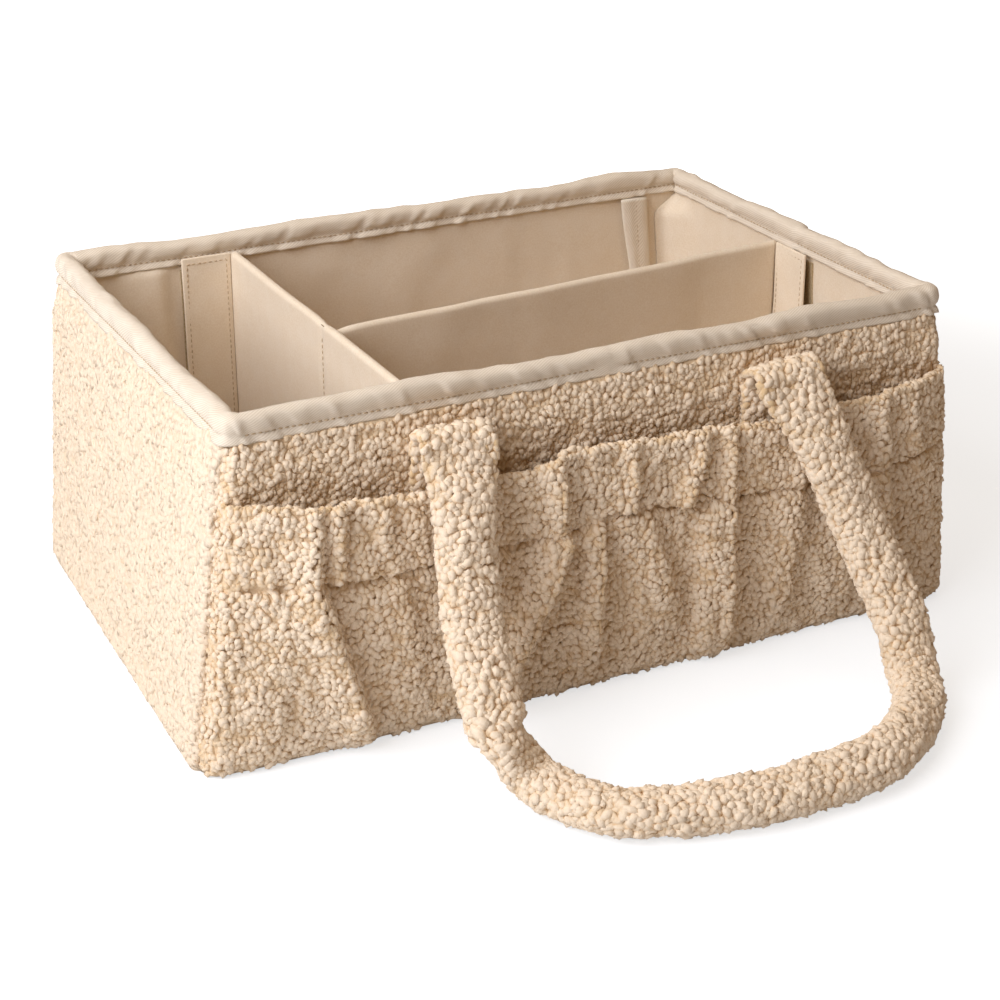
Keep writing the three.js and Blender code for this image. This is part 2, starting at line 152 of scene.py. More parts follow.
# a grid laid on rows and columns of points; edges that meet are joined and open ends get a cap
def gridMesh(name, points, layers=None):
    rows, columns = points.shape[0] - 1, points.shape[1] - 1
    grid = bmesh.new()
    grid.loops.layers.uv.new("OFBake")
    bmesh.ops.create_grid(grid, x_segments=columns, y_segments=rows, size=0.5, calc_uvs=True)
    mesh = meshFrom(name, grid)
    start = np.empty(len(mesh.vertices) * 3, np.float32)
    mesh.vertices.foreach_get("co", start)
    start = start.reshape(-1, 3)
    share = (start - start.min(axis=0)) / np.maximum(np.ptp(start, axis=0), 1e-9)
    column = np.rint(share[:, 0] * columns).astype(int)
    row = np.rint(share[:, 1] * rows).astype(int)
    mesh.vertices.foreach_set("co", (points[row, column] * mm).astype(np.float32).ravel())
    for layer, values in (layers or {}).items():
        attribute = mesh.attributes.new(layer, "FLOAT_VECTOR", "POINT")
        attribute.data.foreach_set("vector", values[row, column].astype(np.float32).ravel())
    closed = bmesh.new()
    closed.from_mesh(mesh)
    bmesh.ops.remove_doubles(closed, verts=closed.verts, dist=1e-6)
    bmesh.ops.holes_fill(closed, edges=closed.edges, sides=0)
    bmesh.ops.recalc_face_normals(closed, faces=closed.faces)
    closed.to_mesh(mesh)
    closed.free()
    mesh.shade_smooth()
    return mesh


# rows and columns of points on a surface that is a function of two distances in mm
def pointsOn(surface, across, up):
    return surface(*np.meshgrid(across, up))


def addPiece(mesh, material, body="caddy", standsFor=()):
    piece = bpy.data.objects.new(mesh.name, mesh)
    scene.collection.objects.link(piece)
    mesh.materials.append(material)
    if standsFor:
        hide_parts(*standsFor)
    if body:
        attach(piece, body)
    return piece


# materials

def linear(code):
    parts = [int(code[i : i + 2], 16) / 255 for i in (1, 3, 5)]
    return (*[c / 12.92 if c <= 0.04045 else ((c + 0.055) / 1.055) ** 2.4 for c in parts], 1)


def addNode(tree, kind, inputs=None, **settings):
    node = tree.nodes.new(kind)
    for name, value in settings.items():
        setattr(node, name, value)
    for name, value in (inputs or {}).items():
        if isinstance(value, bpy.types.NodeSocket):
            tree.links.new(value, node.inputs[name])
        else:
            node.inputs[name].default_value = value
    return node


def newMaterial(name):
    material = bpy.data.materials.new(name)
    material.use_nodes = True
    tree = material.node_tree
    return material, tree, tree.nodes["Principled BSDF"]


# noise with bumps of that size in mm
def noiseOf(tree, size, detail, roughness=0.5):
    place = addNode(tree, "ShaderNodeTexCoord").outputs["Object"]
    inputs = {"Vector": place, "Scale": 1 / (size * mm), "Detail": detail, "Roughness": roughness}
    return addNode(tree, "ShaderNodeTexNoise", inputs).outputs["Fac"]


def remapped(tree, value, low, high, toLow=0, toHigh=1):
    inputs = {"Value": value, "From Min": low, "From Max": high, "To Min": toLow, "To Max": toHigh}
    return addNode(tree, "ShaderNodeMapRange", inputs).outputs["Result"]


def mixed(tree, share, low, high):
    return addNode(tree, "ShaderNodeMix", {0: share, 6: low, 7: high}, data_type="RGBA").outputs[2]


# bump holds the strength of the fine relief and its height in mm, gloss the shader's other settings
def finishMaterial(tree, shader, colour, height, bump, gloss, hollow=False):
    strength, depth = bump
    inputs = {"Height": height, "Strength": strength, "Distance": depth * mm}
    relief = addNode(tree, "ShaderNodeBump", inputs, invert=hollow)
    tree.links.new(colour, shader.inputs["Base Color"])
    tree.links.new(relief.outputs["Normal"], shader.inputs["Normal"])
    for name, value in gloss.items():
        shader.inputs[name].default_value = value


# colours, with the gaps' colour darker as painted shade between the curls, size of the fuzz, and the strength
# and height of its bumps
teddyLook = {"shadedGaps": "#DCBD92", "tips": "#F2DFC6", "sheen": "#FFE9CE", "fuzz": 0.8, "bump": (0.7, 0.5)}


# knitted polyester pile: pale curl tips, warm painted shade in the gaps, a soft fuzzy edge
def teddyFleeceMaterial(name):
    material, tree, shader = newMaterial(name)
    pile = addNode(tree, "ShaderNodeAttribute", attribute_name="pile").outputs["Fac"]
    fuzz = noiseOf(tree, teddyLook["fuzz"], 2, 0.6)
    strands = remapped(tree, fuzz, 0.3, 0.7, -0.2, 0.2)
    tipShare = addNode(tree, "ShaderNodeMath", {0: pile, 1: strands}, operation="ADD", use_clamp=True)
    # the mix from the gaps' colour to the tips' colour is painted shade between the curls
    tone = mixed(tree, tipShare.outputs[0], linear(teddyLook["shadedGaps"]), linear(teddyLook["tips"]))
    gloss = {"Roughness": 0.95, "Specular IOR Level": 0.2, "Sheen Weight": 0.4, "Sheen Roughness": 0.45}
    gloss["Sheen Tint"] = linear(teddyLook["sheen"])
    finishMaterial(tree, shader, tone, fuzz, teddyLook["bump"], gloss)
    return material


liningLook = {
    "nap": ("#E4D0B4", "#EFDFC8"),
    "patches": "#F5EADA",
    "napSize": 0.9,
    "patchSize": 9,
    "bump": (0.35, 0.25),
}


# brushed polyester: matt, with a short nap that shows as fine grain and soft patches
def brushedLiningMaterial(name):
    material, tree, shader = newMaterial(name)
    nap = noiseOf(tree, liningLook["napSize"], 4, 0.65)
    patches = noiseOf(tree, liningLook["patchSize"], 3)
    tone = mixed(tree, remapped(tree, nap, 0.32, 0.68), *map(linear, liningLook["nap"]))
    blotch = remapped(tree, patches, 0.4, 0.65, 0, 0.15)
    colour = mixed(tree, blotch, tone, linear(liningLook["patches"]))
    gloss = {"Roughness": 0.9, "Specular IOR Level": 0.25, "Sheen Weight": 0.2, "Sheen Roughness": 0.5}
    finishMaterial(tree, shader, colour, nap, liningLook["bump"], gloss)
    return material


twillLook = {
    "ribs": ("#D8C8B1", "#EEE1CE"),
    "worn": "#EEE3D3",
    "wearSize": 7,
    "ribPitch": 1.0,  # about 0.6 mm on real tape, drawn coarser so that it shows
    "slant": 63,  # degrees
    "bump": (0.3, 0.2),
}


# cotton twill tape: fine slanting ribs and a faint dry gloss
def twillTapeMaterial(name):
    material, tree, shader = newMaterial(name)
    weave = addNode(tree, "ShaderNodeAttribute", attribute_name="weave").outputs["Vector"]
    slant = (0, 0, math.radians(twillLook["slant"]))
    turned = addNode(tree, "ShaderNodeMapping", {"Vector": weave, "Rotation": slant}).outputs["Vector"]
    scale = 2 * math.pi / (20 * twillLook["ribPitch"])  # at scale 1 the texture's ribs are pi / 10 apart
    inputs = {"Vector": turned, "Scale": scale, "Distortion": 0.6, "Detail": 1, "Detail Scale": 1.5}
    ribs = addNode(tree, "ShaderNodeTexWave", inputs).outputs["Fac"]
    tone = mixed(tree, ribs, *map(linear, twillLook["ribs"]))
    fade = remapped(tree, noiseOf(tree, twillLook["wearSize"], 3), 0.35, 0.7, 0, 0.3)
    colour = mixed(tree, fade, tone, linear(twillLook["worn"]))
    gloss = {"Roughness": 0.8, "Specular IOR Level": 0.3, "Sheen Weight": 0.1}
    finishMaterial(tree, shader, colour, ribs, twillLook["bump"], gloss)
    return material


# two tones of a fine grain, its size, roughness and the height of its bumps
grainLooks = {
    "spun sewing thread": ("#B99F7D", "#D0B896", 0.5, 0.75, 0.1),  # dull twisted strands
    "brown pulp board": ("#8B7759", "#A08B6B", 0.8, 0.95, 0.1),  # pressed fibres
    "napped loop tape": ("#B09A76", "#D2BC97", 0.7, 1.0, 0.5),  # a mat of fine loops
}


def grainedMaterial(name):
    material, tree, shader = newMaterial(name)
    low, high, size, roughness, depth = grainLooks[name]
    grain = noiseOf(tree, size, 4, 0.6)
    colour = mixed(tree, remapped(tree, grain, 0.35, 0.65), linear(low), linear(high))
    finishMaterial(tree, shader, colour, grain, (0.5, depth), {"Roughness": roughness})
    return material


hookLook = {"hooks": "#A08B6C", "between": "#6F5D46", "pitch": 1.5, "bump": (0.8, 0.6)}


# woven nylon with rows of tiny hooks
def hookTapeMaterial(name):
    material, tree, shader = newMaterial(name)
    place = addNode(tree, "ShaderNodeTexCoord").outputs["Object"]
    inputs = {"Vector": place, "Scale": 1 / (hookLook["pitch"] * mm), "Randomness": 0.25}
    away = addNode(tree, "ShaderNodeTexVoronoi", inputs).outputs["Distance"]
    colour = mixed(tree, away, linear(hookLook["hooks"]), linear(hookLook["between"]))
    finishMaterial(tree, shader, colour, away, hookLook["bump"], {"Roughness": 0.55}, hollow=True)
    return material


teddyFleece = teddyFleeceMaterial("teddy fleece")
brushedLining = brushedLiningMaterial("brushed lining cloth")
twillTape = twillTapeMaterial("cotton twill tape")
sewingThread, stiffBoard, loopTape = map(grainedMaterial, grainLooks)
hookTape = hookTapeMaterial("nylon hook tape")
for nodeName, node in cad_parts.items():
    finish = hookTape if "hook_tape" in nodeName else loopTape if "loop_tape" in nodeName else stiffBoard
    node.data.materials.clear()
    node.data.materials.append(finish)
print("materials made")


# pile

fleece = {
    "pitch": 2.1,  # spacing of the curls in a row
    "rowPitch": 2.3,
    "stagger": 0.25,  # rows are moved along by turns, in pitches
    "scatter": 0.95,  # how far a curl strays from its place, in pitches
    "length": (3.7, 6.2),
    "width": (3.1, 4.9),
    "height": (2.4, 3.8),
    "stretch": (0.8, 1.5),  # on steep cloth the curls are longer, so that no ground shows
    "lift": (-0.6, 0.6),  # how far its middle lies over the ground
    "turn": 2.2,  # the range of ways that the curls point, in radians
    "tip": 0.5,  # most that a curl tips out of the cloth, in radians
    "lumps": 0.26,
    "clump": 7,  # the curls hang together in tufts of about this size
    "clumpLift": 0.6,
    "clumpPull": 0.7,  # how far a curl is drawn towards its tuft
    "overFloor": 0.3,  # no curl goes lower than this
    # tone holds painted shade: the curls are darker towards the ground, as shade between them
    "tone": (0.1, 0.54, 0.14),  # share of the tips' colour at the ground, its rise in a mm, its range
    "ground": 1.4,  # the knitted ground lies this far under the sewn shape
    "groundStep": 2.6,
    # the bare ground's share is kept low as painted shade under the curls
    "groundShade": 0.35,  # the ground's own share of the tips' colour
}


# the knitted ground's colour, darker than the tips as painted shade
def groundLayer(points, shade=fleece["groundShade"]):
    return {"pile": np.full_like(points, shade)}


# low balls, copied by doubling, and where the corners of one are
def ballCopies(count):
    balls = bmesh.new()
    bmesh.ops.create_icosphere(balls, subdivisions=1, radius=1)
    ball = np.array([vert.co for vert in balls.verts])
    edges, faces = len(balls.edges), len(balls.faces)
    made = 1
    while made < count:
        more = min(made, count - made)
        part = balls.verts[: len(ball) * more] + balls.edges[: edges * more] + balls.faces[: faces * more]
        bmesh.ops.duplicate(balls, geom=part)
        made += more
    return balls, ball


# each ball gets its own round patch of the map, its underside spread out as the rim
def curlPatches(mesh, ball, column, row, columns, rows):
    corner = np.empty(len(mesh.loops), np.int32)
    mesh.loops.foreach_get("vertex_index", corner)
    local, copy = corner % len(ball), corner // len(ball)
    way = unit(ball[local][:, :2]).reshape(-1, 3, 2)
    under = (ball[local][:, 2] < -0.99).reshape(-1, 3, 1)
    way = np.where(under, unit(way.sum(axis=1, keepdims=True)), way).reshape(-1, 2)
    reach = 0.47 * np.arccos(np.clip(ball[local][:, 2], -1, 1)) / math.pi
    u = (column[copy] + 0.5 + reach * way[:, 0]) / columns
    v = (row[copy] + 0.5 + reach * way[:, 1]) / rows
    patches = mesh.uv_layers.new(name="OFBake")
    patches.data.foreach_set("uv", np.stack([u, v], axis=1).astype(np.float32).ravel())


# places at shares of each row's length along the cloth itself, so that folds get as many curls as flats
def evenAcross(surface, acrossEnds, upEnds, rows, row, share):
    fine = stopsBetween(*acrossEnds, 0.6)  # close enough to follow the folds
    middles = upEnds[0] + (np.arange(rows) + 0.5) / rows * (upEnds[1] - upEnds[0])
    across = np.empty_like(share)
    for count, middle in enumerate(middles):
        length = lengthAlong(surface(fine, middle + 0 * fine))
        inRow = row == count
        across[inRow] = np.interp(share[inRow] * length[-1], length, fine)
    return across


# how steeply something changes across and up at a place
def slopesAt(surface, across, up):
    step = 0.7  # measured this far to each side
    side = surface(across + step, up) - surface(across - step, up)
    rise = surface(across, up + step) - surface(across, up - step)
    return side / (2 * step), rise / (2 * step)


# curls of pile over a surface, in staggered rows; size is a number or a function of the place, coarse spaces
# them wider, relief flattens them, pale lightens the painted shade in their gaps and sink sets them deeper in
# the ground
def curlsOn(name, surface, acrossEnds, upEnds, seed, size=1.0, coarse=1.0, relief=1.0, pale=0.0, sink=0.0):
    columns = round((acrossEnds[1] - acrossEnds[0]) / (coarse * fleece["pitch"]))
    rows = round((upEnds[1] - upEnds[0]) / (coarse * fleece["rowPitch"]))
    row, column = (cell.ravel() for cell in np.mgrid[0:rows, 0:columns])

    def chance(draw):
        return cellChance(column, row, seed + draw * 0.37)

    def between(limits, draw):
        return (limits[0] + (limits[1] - limits[0]) * chance(draw))[:, None]

    stagger = fleece["stagger"] * (-1.0) ** row
    acrossShare = (column + 0.5 + stagger + fleece["scatter"] * (chance(0) - 0.5)) / columns
    upShare = (row + 0.5 + fleece["scatter"] * (chance(1) - 0.5)) / rows
    up = upEnds[0] + upShare * (upEnds[1] - upEnds[0])
    across = evenAcross(surface, acrossEnds, upEnds, rows, row, acrossShare)

    def tuft(across, up):
        return softNoise(across, up, coarse * fleece["clump"], seed + 0.9)

    drawnAcross, drawnUp = slopesAt(tuft, across, up)
    across = np.clip(across + fleece["clumpPull"] * drawnAcross, *acrossEnds)
    up = np.clip(up + fleece["clumpPull"] * drawnUp, *upEnds)
    place = surface(across, up)
    side, rise = slopesAt(surface, across, up)
    stretchUp = np.clip(np.linalg.norm(rise, axis=-1, keepdims=True), *fleece["stretch"])
    side = unit(side)
    out = unit(np.cross(side, rise))
    angle = fleece["turn"] * (chance(2) - 0.5)[:, None]
    long = np.cross(out, side) * np.cos(angle) + side * np.sin(angle)
    tip = 2 * relief * fleece["tip"] * (chance(3) - 0.5)[:, None]
    long, top = long * np.cos(tip) + out * np.sin(tip), out * np.cos(tip) - long * np.sin(tip)
    wide = np.cross(top, long)
    scale = coarse * (size(across, up) if callable(size) else size + 0 * up)[:, None] / 2
    width = between(fleece["width"], 5)
    length = between(fleece["length"], 6) * stretchUp
    axes = np.stack([wide * width, long * length, top * relief * between(fleece["height"], 4)], axis=1)
    balls, ball = ballCopies(len(row))
    mesh = meshFrom(name, balls)
    lumps = cellChance(np.arange(len(row))[:, None], np.arange(len(ball))[None, :], seed + 5.1)
    shape = ball[None] * (1 + fleece["lumps"] * (2 * lumps - 1))[..., None]
    reach = np.einsum("nvk,nkc->nvc", shape, axes) * scale[:, None]
    lift = np.sum(reach * out[:, None], axis=-1)
    overGround = between(fleece["lift"], 8) + fleece["clumpLift"] * tuft(across, up)[:, None]
    overGround = relief * np.maximum(overGround, fleece["lift"][0]) - sink
    points = place[:, None] + reach + out[:, None] * overGround[:, None]
    points[..., 2] = np.maximum(points[..., 2], fleece["overFloor"])
    mesh.vertices.foreach_set("co", (points * mm).astype(np.float32).ravel())
    # the colour falls from the tips' colour towards the gaps' colour near the ground, as painted shade
    # between the curls; chance gives each curl its own tone
    atGround, perHeight, byChance = fleece["tone"]
    pile = atGround + perHeight * (lift + overGround + sink) / relief + byChance * (chance(7)[:, None] - 0.5)
    attribute = mesh.attributes.new("pile", "FLOAT", "POINT")
    shade = pale + (1 - pale) * np.clip(pile, 0, 1)
    attribute.data.foreach_set("value", shade.astype(np.float32).ravel())
    curlPatches(mesh, ball, column, row, columns, rows)
    return mesh


# outer walls

outerWall = {
    "top": 158.6,  # the ground ends under the binding's lip, and the pile reaches up to it
    "pileTop": 158,
    "tuck": (2.6, 142),  # how much the wall thins towards the binding, and from which height
    "hiddenBelow": 88,  # the long walls carry pile only above this, the pocket covers the rest
    "foot": 0.4,
    "footRoll": (2.5, 8),  # how far the lower edge rolls under, and up to which height
    "seamDip": (1.5, 2.4),  # depth and width of the corner seams
    "seamWander": (1.2, 14),  # how far they stray from straight, and over which length
    "flare": 8,  # the front left and back right corners stand out further at the floor
    "flareRuns": (260, 110),  # along the end wall and along the long wall
    # inset and height of the back of the panel, from the edge under the binding round to the foot
    "back": ((5.5, 158.8), (5.5, 170.4), (6.9, 170.4), (6.9, 90), (6.9, 4), (5.5, 0.4)),
    # the end walls' pile is stretched flatter and closer, lies deeper, its gaps show less, and their painted
    # shade is lighter
    "endPile": {"relief": 0.5, "size": 1.3, "sink": 0.55, "pale": 0.7},
}


def fromCorner(along, z):
    stray, length = outerWall["seamWander"]
    away = np.abs(pastPlace(along[..., None], cornerSeams)).min(axis=-1)
    return np.abs(away + stray * softLine(z, length, 41))


# how far the two flared corners stand out to their ends
def flareAt(along, z):
    shift = 0
    onEnd, onLong = outerWall["flareRuns"]
    for seam, sign in ((cornerSeams[3], -1), (cornerSeams[1], 1)):
        away = pastPlace(along, seam)
        share = np.where(away < 0, 1 + away / onEnd, 1 - away / onLong)
        shift = shift + sign * np.clip(share, 0, 1)
    return outerWall["flare"] * shift * (1 - z / caddyBox["height"])


def wallGround(along, z):
    rolled, rollTop = outerWall["footRoll"]
    depth, width = outerWall["seamDip"]
    thinned, thinFrom = outerWall["tuck"]
    foot = rolled * (1 - smoothStep(z, 0, rollTop))
    dip = depth * bell(fromCorner(along, z), width)
    tuck = thinned * smoothStep(z, thinFrom, outerWall["top"])
    points = onWall(along, fleece["ground"] + foot + dip + tuck, z)
    points[..., 0] += flareAt(along, z)
    return points


def fleeceWall(side, start, end, seed):
    z = stopsBetween(outerWall["foot"], outerWall["top"], fleece["groundStep"])
    along = stopsBetween(start, end, fleece["groundStep"])
    outer = pointsOn(wallGround, along, z)
    inner = [onWall(along, inset, height)[None] for inset, height in outerWall["back"]]
    skin = np.concatenate([outer, *inner, outer[:1]])
    onEnd = side in ("left", "right")
    pile = outerWall["endPile"] if onEnd else {}
    # the ground's painted shade, lighter on the end walls
    shade = pile.get("pale", fleece["groundShade"])
    mesh = gridMesh(side + "_fleece_wall", skin, groundLayer(skin, shade))
    addPiece(mesh, teddyFleece, standsFor=[side + "_outer_panel"])
    upEnds = (1.0 if onEnd else outerWall["hiddenBelow"], outerWall["pileTop"])
    curls = curlsOn(side + "_wall_curls", wallGround, (start, end), upEnds, seed, **pile)
    addPiece(curls, teddyFleece)


frontRight, backRight, backLeft, frontLeft = cornerSeams
wallEnds = {
    "front": (frontLeft - rimLength, frontRight),
    "right": (frontRight, backRight),
    "back": (backRight, backLeft),
    "left": (backLeft, frontLeft),
}
for seed, (side, ends) in enumerate(wallEnds.items(), start=1):
    fleeceWall(side, *ends, seed)
print("fleece walls made")


# gathered pockets

pocket = {
    "reach": 190.4,  # half its width, sewn into the corner seams
    "top": 128,
    # place and height of the slack top edge, drawn up by the gathers
    "edge": ((-190, 135), (-163, 133), (-106, 128), (-48, 129), (-34, 134), (13, 131), (38, 132), (75, 128),
             (139, 131), (190, 134)),
    "foot": 1.5,
    "seam": 91,  # height of the casing's stitch line
    "thickness": 5.6,
    "gape": 8.5,
    "gapeRise": (-23.5, 63),  # the heights between which the panel comes away from the wall
    "casing": 2.0,  # the casing stands out over the seam
    "seamDip": (3.0, 2.2),  # depth and width of its stitch line
    "seamWander": (1.5, 22),  # how far that strays from level, and over which length
    "ripple": (1.8, 7, 13),  # height of the small gathers and their two sizes
    "sideTuck": 3.0,  # the side edges are drawn this deep into the corner seams
    "sideRuns": (0.16, 0.1, 0.035),  # shares of its half width where the gape, the dip and the tuck fade
    "edgeWander": (0.8, 17),  # how far the top edge strays, and over which length
    "footRoll": (2.0, 9),  # how far the lower edge rolls under, and up to which height
    "pleatRise": (-8, 25),  # the heights between which the pleats come up
    "hem": 22,  # how far the pile goes down inside the mouth
    # each pleat: place at the casing seam and at the foot, width of its lit and of its steep flank, rise, and
    # the share of the way down where it ends
    "pleats": ((-151, -119, 10, 3.5, 11, 1.3), (-112, -100, 14, 9, 2, 1), (-66, -78, 13, 9, 3, 1),
               (-34, -67, 11, 3, 12, 1.3), (-15, -14, 11, 1.8, 6, 1), (6, 38, 9, 7, 6, 0.8),
               (43, 44, 5, 6, 8, 1.3), (53, 55, 6, 2.2, 10, 1.3), (92, 82, 12, 8, 4, 1),
               (120, 124, 10, 4, 5, 1), (141, 147, 9, 3.5, 8, 1)),
    # each gather of the casing: place at the top and at the seam, width of its two flanks, rise
    "gathers": ((-154, -152, 5, 3, 6), (-142, -141, 4, 2.5, 5.5), (-122, -123, 6, 4, 2),
                (-38, -36, 6, 2.5, 7), (2, 1, 5, 3, 6), (39, 29, 5, 3, 6.5), (55, 53, 4, 2.5, 6.5),
                (98, 94, 5, 3, 4), (140, 141, 6, 3, 6)),
    # where the casing's seam is drawn up: place, width, rise
    "drawn": ((-172, 30, 4), (-5, 30, 5)),
}


# a fold with one broad flank and one steep one
def fold(away, broad, steep):
    return np.where(away < 0, bell(away, broad), np.exp(-np.abs(away / steep) ** 2.4))


# how far the panel stands out from the wall
def pocketOffset(along, z):
    fromSide = 1 - np.abs(along) / pocket["reach"]
    fromFoot = smoothStep(z, *pocket["gapeRise"])
    down = np.clip((pocket["seam"] - z) / (pocket["seam"] - pocket["foot"]), 0, 1)
    up = np.clip((z - pocket["seam"]) / (pocket["top"] - pocket["seam"]), 0, 1)
    stray, length = pocket["seamWander"]
    seamLine = pocket["seam"] + stray * softLine(along, length, 53)
    for place, width, rise in pocket["drawn"]:
        seamLine = seamLine + rise * bell(along - place, width)
    above = smoothStep(z, seamLine - 1, seamLine + 3)
    gapeRun, dipRun, tuckRun = pocket["sideRuns"]
    spread = (pocket["gape"] + pocket["casing"] * above) * fromFoot
    for seamX, footX, broad, steep, rise, end in pocket["pleats"]:
        away = along - seamX - (footX - seamX) * down
        run = smoothStep(z, *pocket["pleatRise"]) * (1 - smoothStep(down, end - 0.35, end + 0.05))
        spread = spread + rise * (1 - above) * run * fold(away, broad, steep)
    for topX, seamX, broad, steep, rise in pocket["gathers"]:
        away = along - seamX - (topX - seamX) * up
        spread = spread + rise * above * (1 - 0.5 * smoothStep(up, 0.6, 1)) * fold(away, broad, steep)
    rise, small, large = pocket["ripple"]
    ripple = softNoise(along + 0.25 * z, z * 0.2, small, 51) + 0.6 * softNoise(along, z * 0.25, large, 52)
    spread = spread + rise * ripple * fromFoot
    depth, width = pocket["seamDip"]
    dip = depth * bell(z - seamLine, width) * smoothStep(fromSide, 0, dipRun)
    sewnIn = pocket["sideTuck"] * (1 - smoothStep(fromSide, 0, tuckRun))
    return 0.2 + smoothStep(fromSide, 0, gapeRun) * spread - dip - sewnIn


# radius of the rolled top edge, length of the outer face below it, and length of cloth over it
pocketRoll = pocket["thickness"] / 2 - fleece["ground"]
pocketFace = pocket["top"] - pocket["thickness"] / 2 - pocket["foot"]
pocketOver = math.pi * pocketRoll


# up runs up the outer face, over the rolled edge and down the inner face
def pocketGround(along, up, sign=1):
    along = np.clip(along, -pocket["reach"], pocket["reach"])
    share = np.abs(along) / pocket["reach"]
    middle = pocket["thickness"] / 2
    stray, length = pocket["edgeWander"]
    top = np.interp(along, *zip(*pocket["edge"])) + stray * softLine(along, length, 45) - middle
    turn = np.clip((up - pocketFace) / pocketRoll, 0, math.pi)
    inside = np.maximum(up - pocketFace - pocketOver, 0)
    onFace = np.clip(up / pocketFace, 0, 1) * (top - pocket["foot"])
    z = pocket["foot"] + onFace + pocketRoll * np.sin(turn) - inside
    flat = 0.35 + 0.65 * smoothStep(1 - share, 0, 0.05)
    rolled, rollTop = pocket["footRoll"]
    footRoll = rolled * (1 - smoothStep(z, pocket["foot"], rollTop)) * (turn < 0.1)
    depth = flat * (middle + pocketRoll * np.cos(turn)) - footRoll
    points = onWall(along, -pocketOffset(along, np.minimum(z, top)) - depth, z)
    points[..., 0] += flareAt(along, z)
    points[..., :2] *= sign
    return points


def pocketPanel(side, sign, seed):
    def ground(along, up):
        return pocketGround(along, up, sign)

    along = stopsBetween(-pocket["reach"], pocket["reach"], fleece["groundStep"])
    up = np.concatenate([
        stopsBetween(0, pocketFace, fleece["groundStep"]),
        pocketFace + pocketOver * np.linspace(0, 1, 6)[1:],
        pocketFace + pocketOver + stopsBetween(0, pocketFace, 4)[1:],
    ])
    skin = pointsOn(ground, along, up)
    skin = np.concatenate([skin, skin[:1]])
    mesh = gridMesh(side + "_gathered_pocket", skin, groundLayer(skin))
    standsFor = [side + "_pocket_panel", side + "_pocket_elastic"]
    piece = addPiece(mesh, teddyFleece, standsFor=standsFor)

    seamUp = pocket["seam"] - pocket["foot"]
    pileTop = pocketFace + pocketOver + pocket["hem"]
    acrossEnds = (-pocket["reach"], pocket["reach"])

    def seamSize(along, up):
        atSide = 0.7 + 0.3 * smoothStep(pocket["reach"] - np.abs(along), 0, 6)
        return (1 - 0.1 * bell(up - seamUp, 2.0)) * atSide

    for part, upEnds in (("pocket", (0.8, seamUp)), ("casing", (seamUp, pileTop))):
        curls = curlsOn(f"{side}_{part}_curls", ground, acrossEnds, upEnds, seed, seamSize)
        addPiece(curls, teddyFleece)


pocketPanel("front", 1, 5)
pocketPanel("back", -1, 6)
print("pockets made")


# padded handles

strap = {
    "width": 31,
    "gripWidth": 27,
    "thickness": 20,
    "endWidth": 40,
    "endThickness": 7,
    "girth": 78,  # length of cloth round it
    "fullness": 0.88,  # 1 is an oval, less is squarer
    "tabFoot": 108,
    "foldX": 88,
    "foldY": -140.2,
    "foldZ": 148,
    "foldRadius": 6.5,
    "leftFootX": -98,
    "rightFootX": 122,
    "rightTilt": -4,  # degrees that the right end is turned in its own plane, fading out down the leg
    # share of the way to the foot, y and z of each leg
    "legs": ((0, -146.7, 148), (0.3, -156.3, 124), (0.8, -175.3, 74.2), (1, -203, 36)),
    # share of the way between the legs, y, z and roll in degrees of the loop
    "loop": ((0.05, -212.8, 15, 0), (0.09, -230.3, 10.5, 0), (0.15, -250.6, 10.5, 5),
             (0.25, -261.8, 10.5, 12), (0.36, -268.8, 11, 18), (0.48, -273, 11.5, 25), (0.62, -273, 12, 32),
             (0.74, -269.5, 12.5, 36), (0.86, -254.1, 12.5, 36), (0.95, -234.5, 12.5, 28),
             (0.99, -217, 16, 15)),
    "pile": 2.8,  # the ground lies this far under the strap's outer face
    "curlSize": 1.28,  # its pile is a little coarser than the walls'
    "cutShare": 0.42,  # the strap's ends part from the loop this far down the legs
    "padRun": 0.45,  # share of a leg over which the padding fills out
    "gripRun": 0.2,  # share of the loop over which it narrows to the grip
    "smoothing": 4,  # each row is averaged with this many to each side
}


# a smooth curve through points, with the same bends as the solids' own
def curveThrough(points, steps):
    points = np.asarray(points, float)
    points = np.vstack([2 * points[0] - points[1], points, 2 * points[-1] - points[-2]])
    share = np.linspace(0, 1, steps, endpoint=False)[:, None]
    parts = []
    for a, b, c, d in zip(points, points[1:], points[2:], points[3:]):
        ab, bc, cd = (math.sqrt(np.linalg.norm(q - p)) for p, q in ((a, b), (b, c), (c, d)))
        leave = ((b - a) / ab - (c - a) / (ab + bc) + (c - b) / bc) * bc
        arrive = ((c - b) / bc - (d - b) / (bc + cd) + (d - c) / cd) * bc
        cubic = 2 * b - 2 * c + leave + arrive
        square = -3 * b + 3 * c - 2 * leave - arrive
        parts.append(b + leave * share + square * share**2 + cubic * share**3)
    return np.vstack([*parts, points[-2:-1]])


def readAt(stops, length, values):
    return np.stack([np.interp(stops, length, column) for column in values.T], axis=-1)


def evenly(points, values, count):
    length = lengthAlong(points)
    return readAt(np.linspace(0, length[-1], count), length, values)


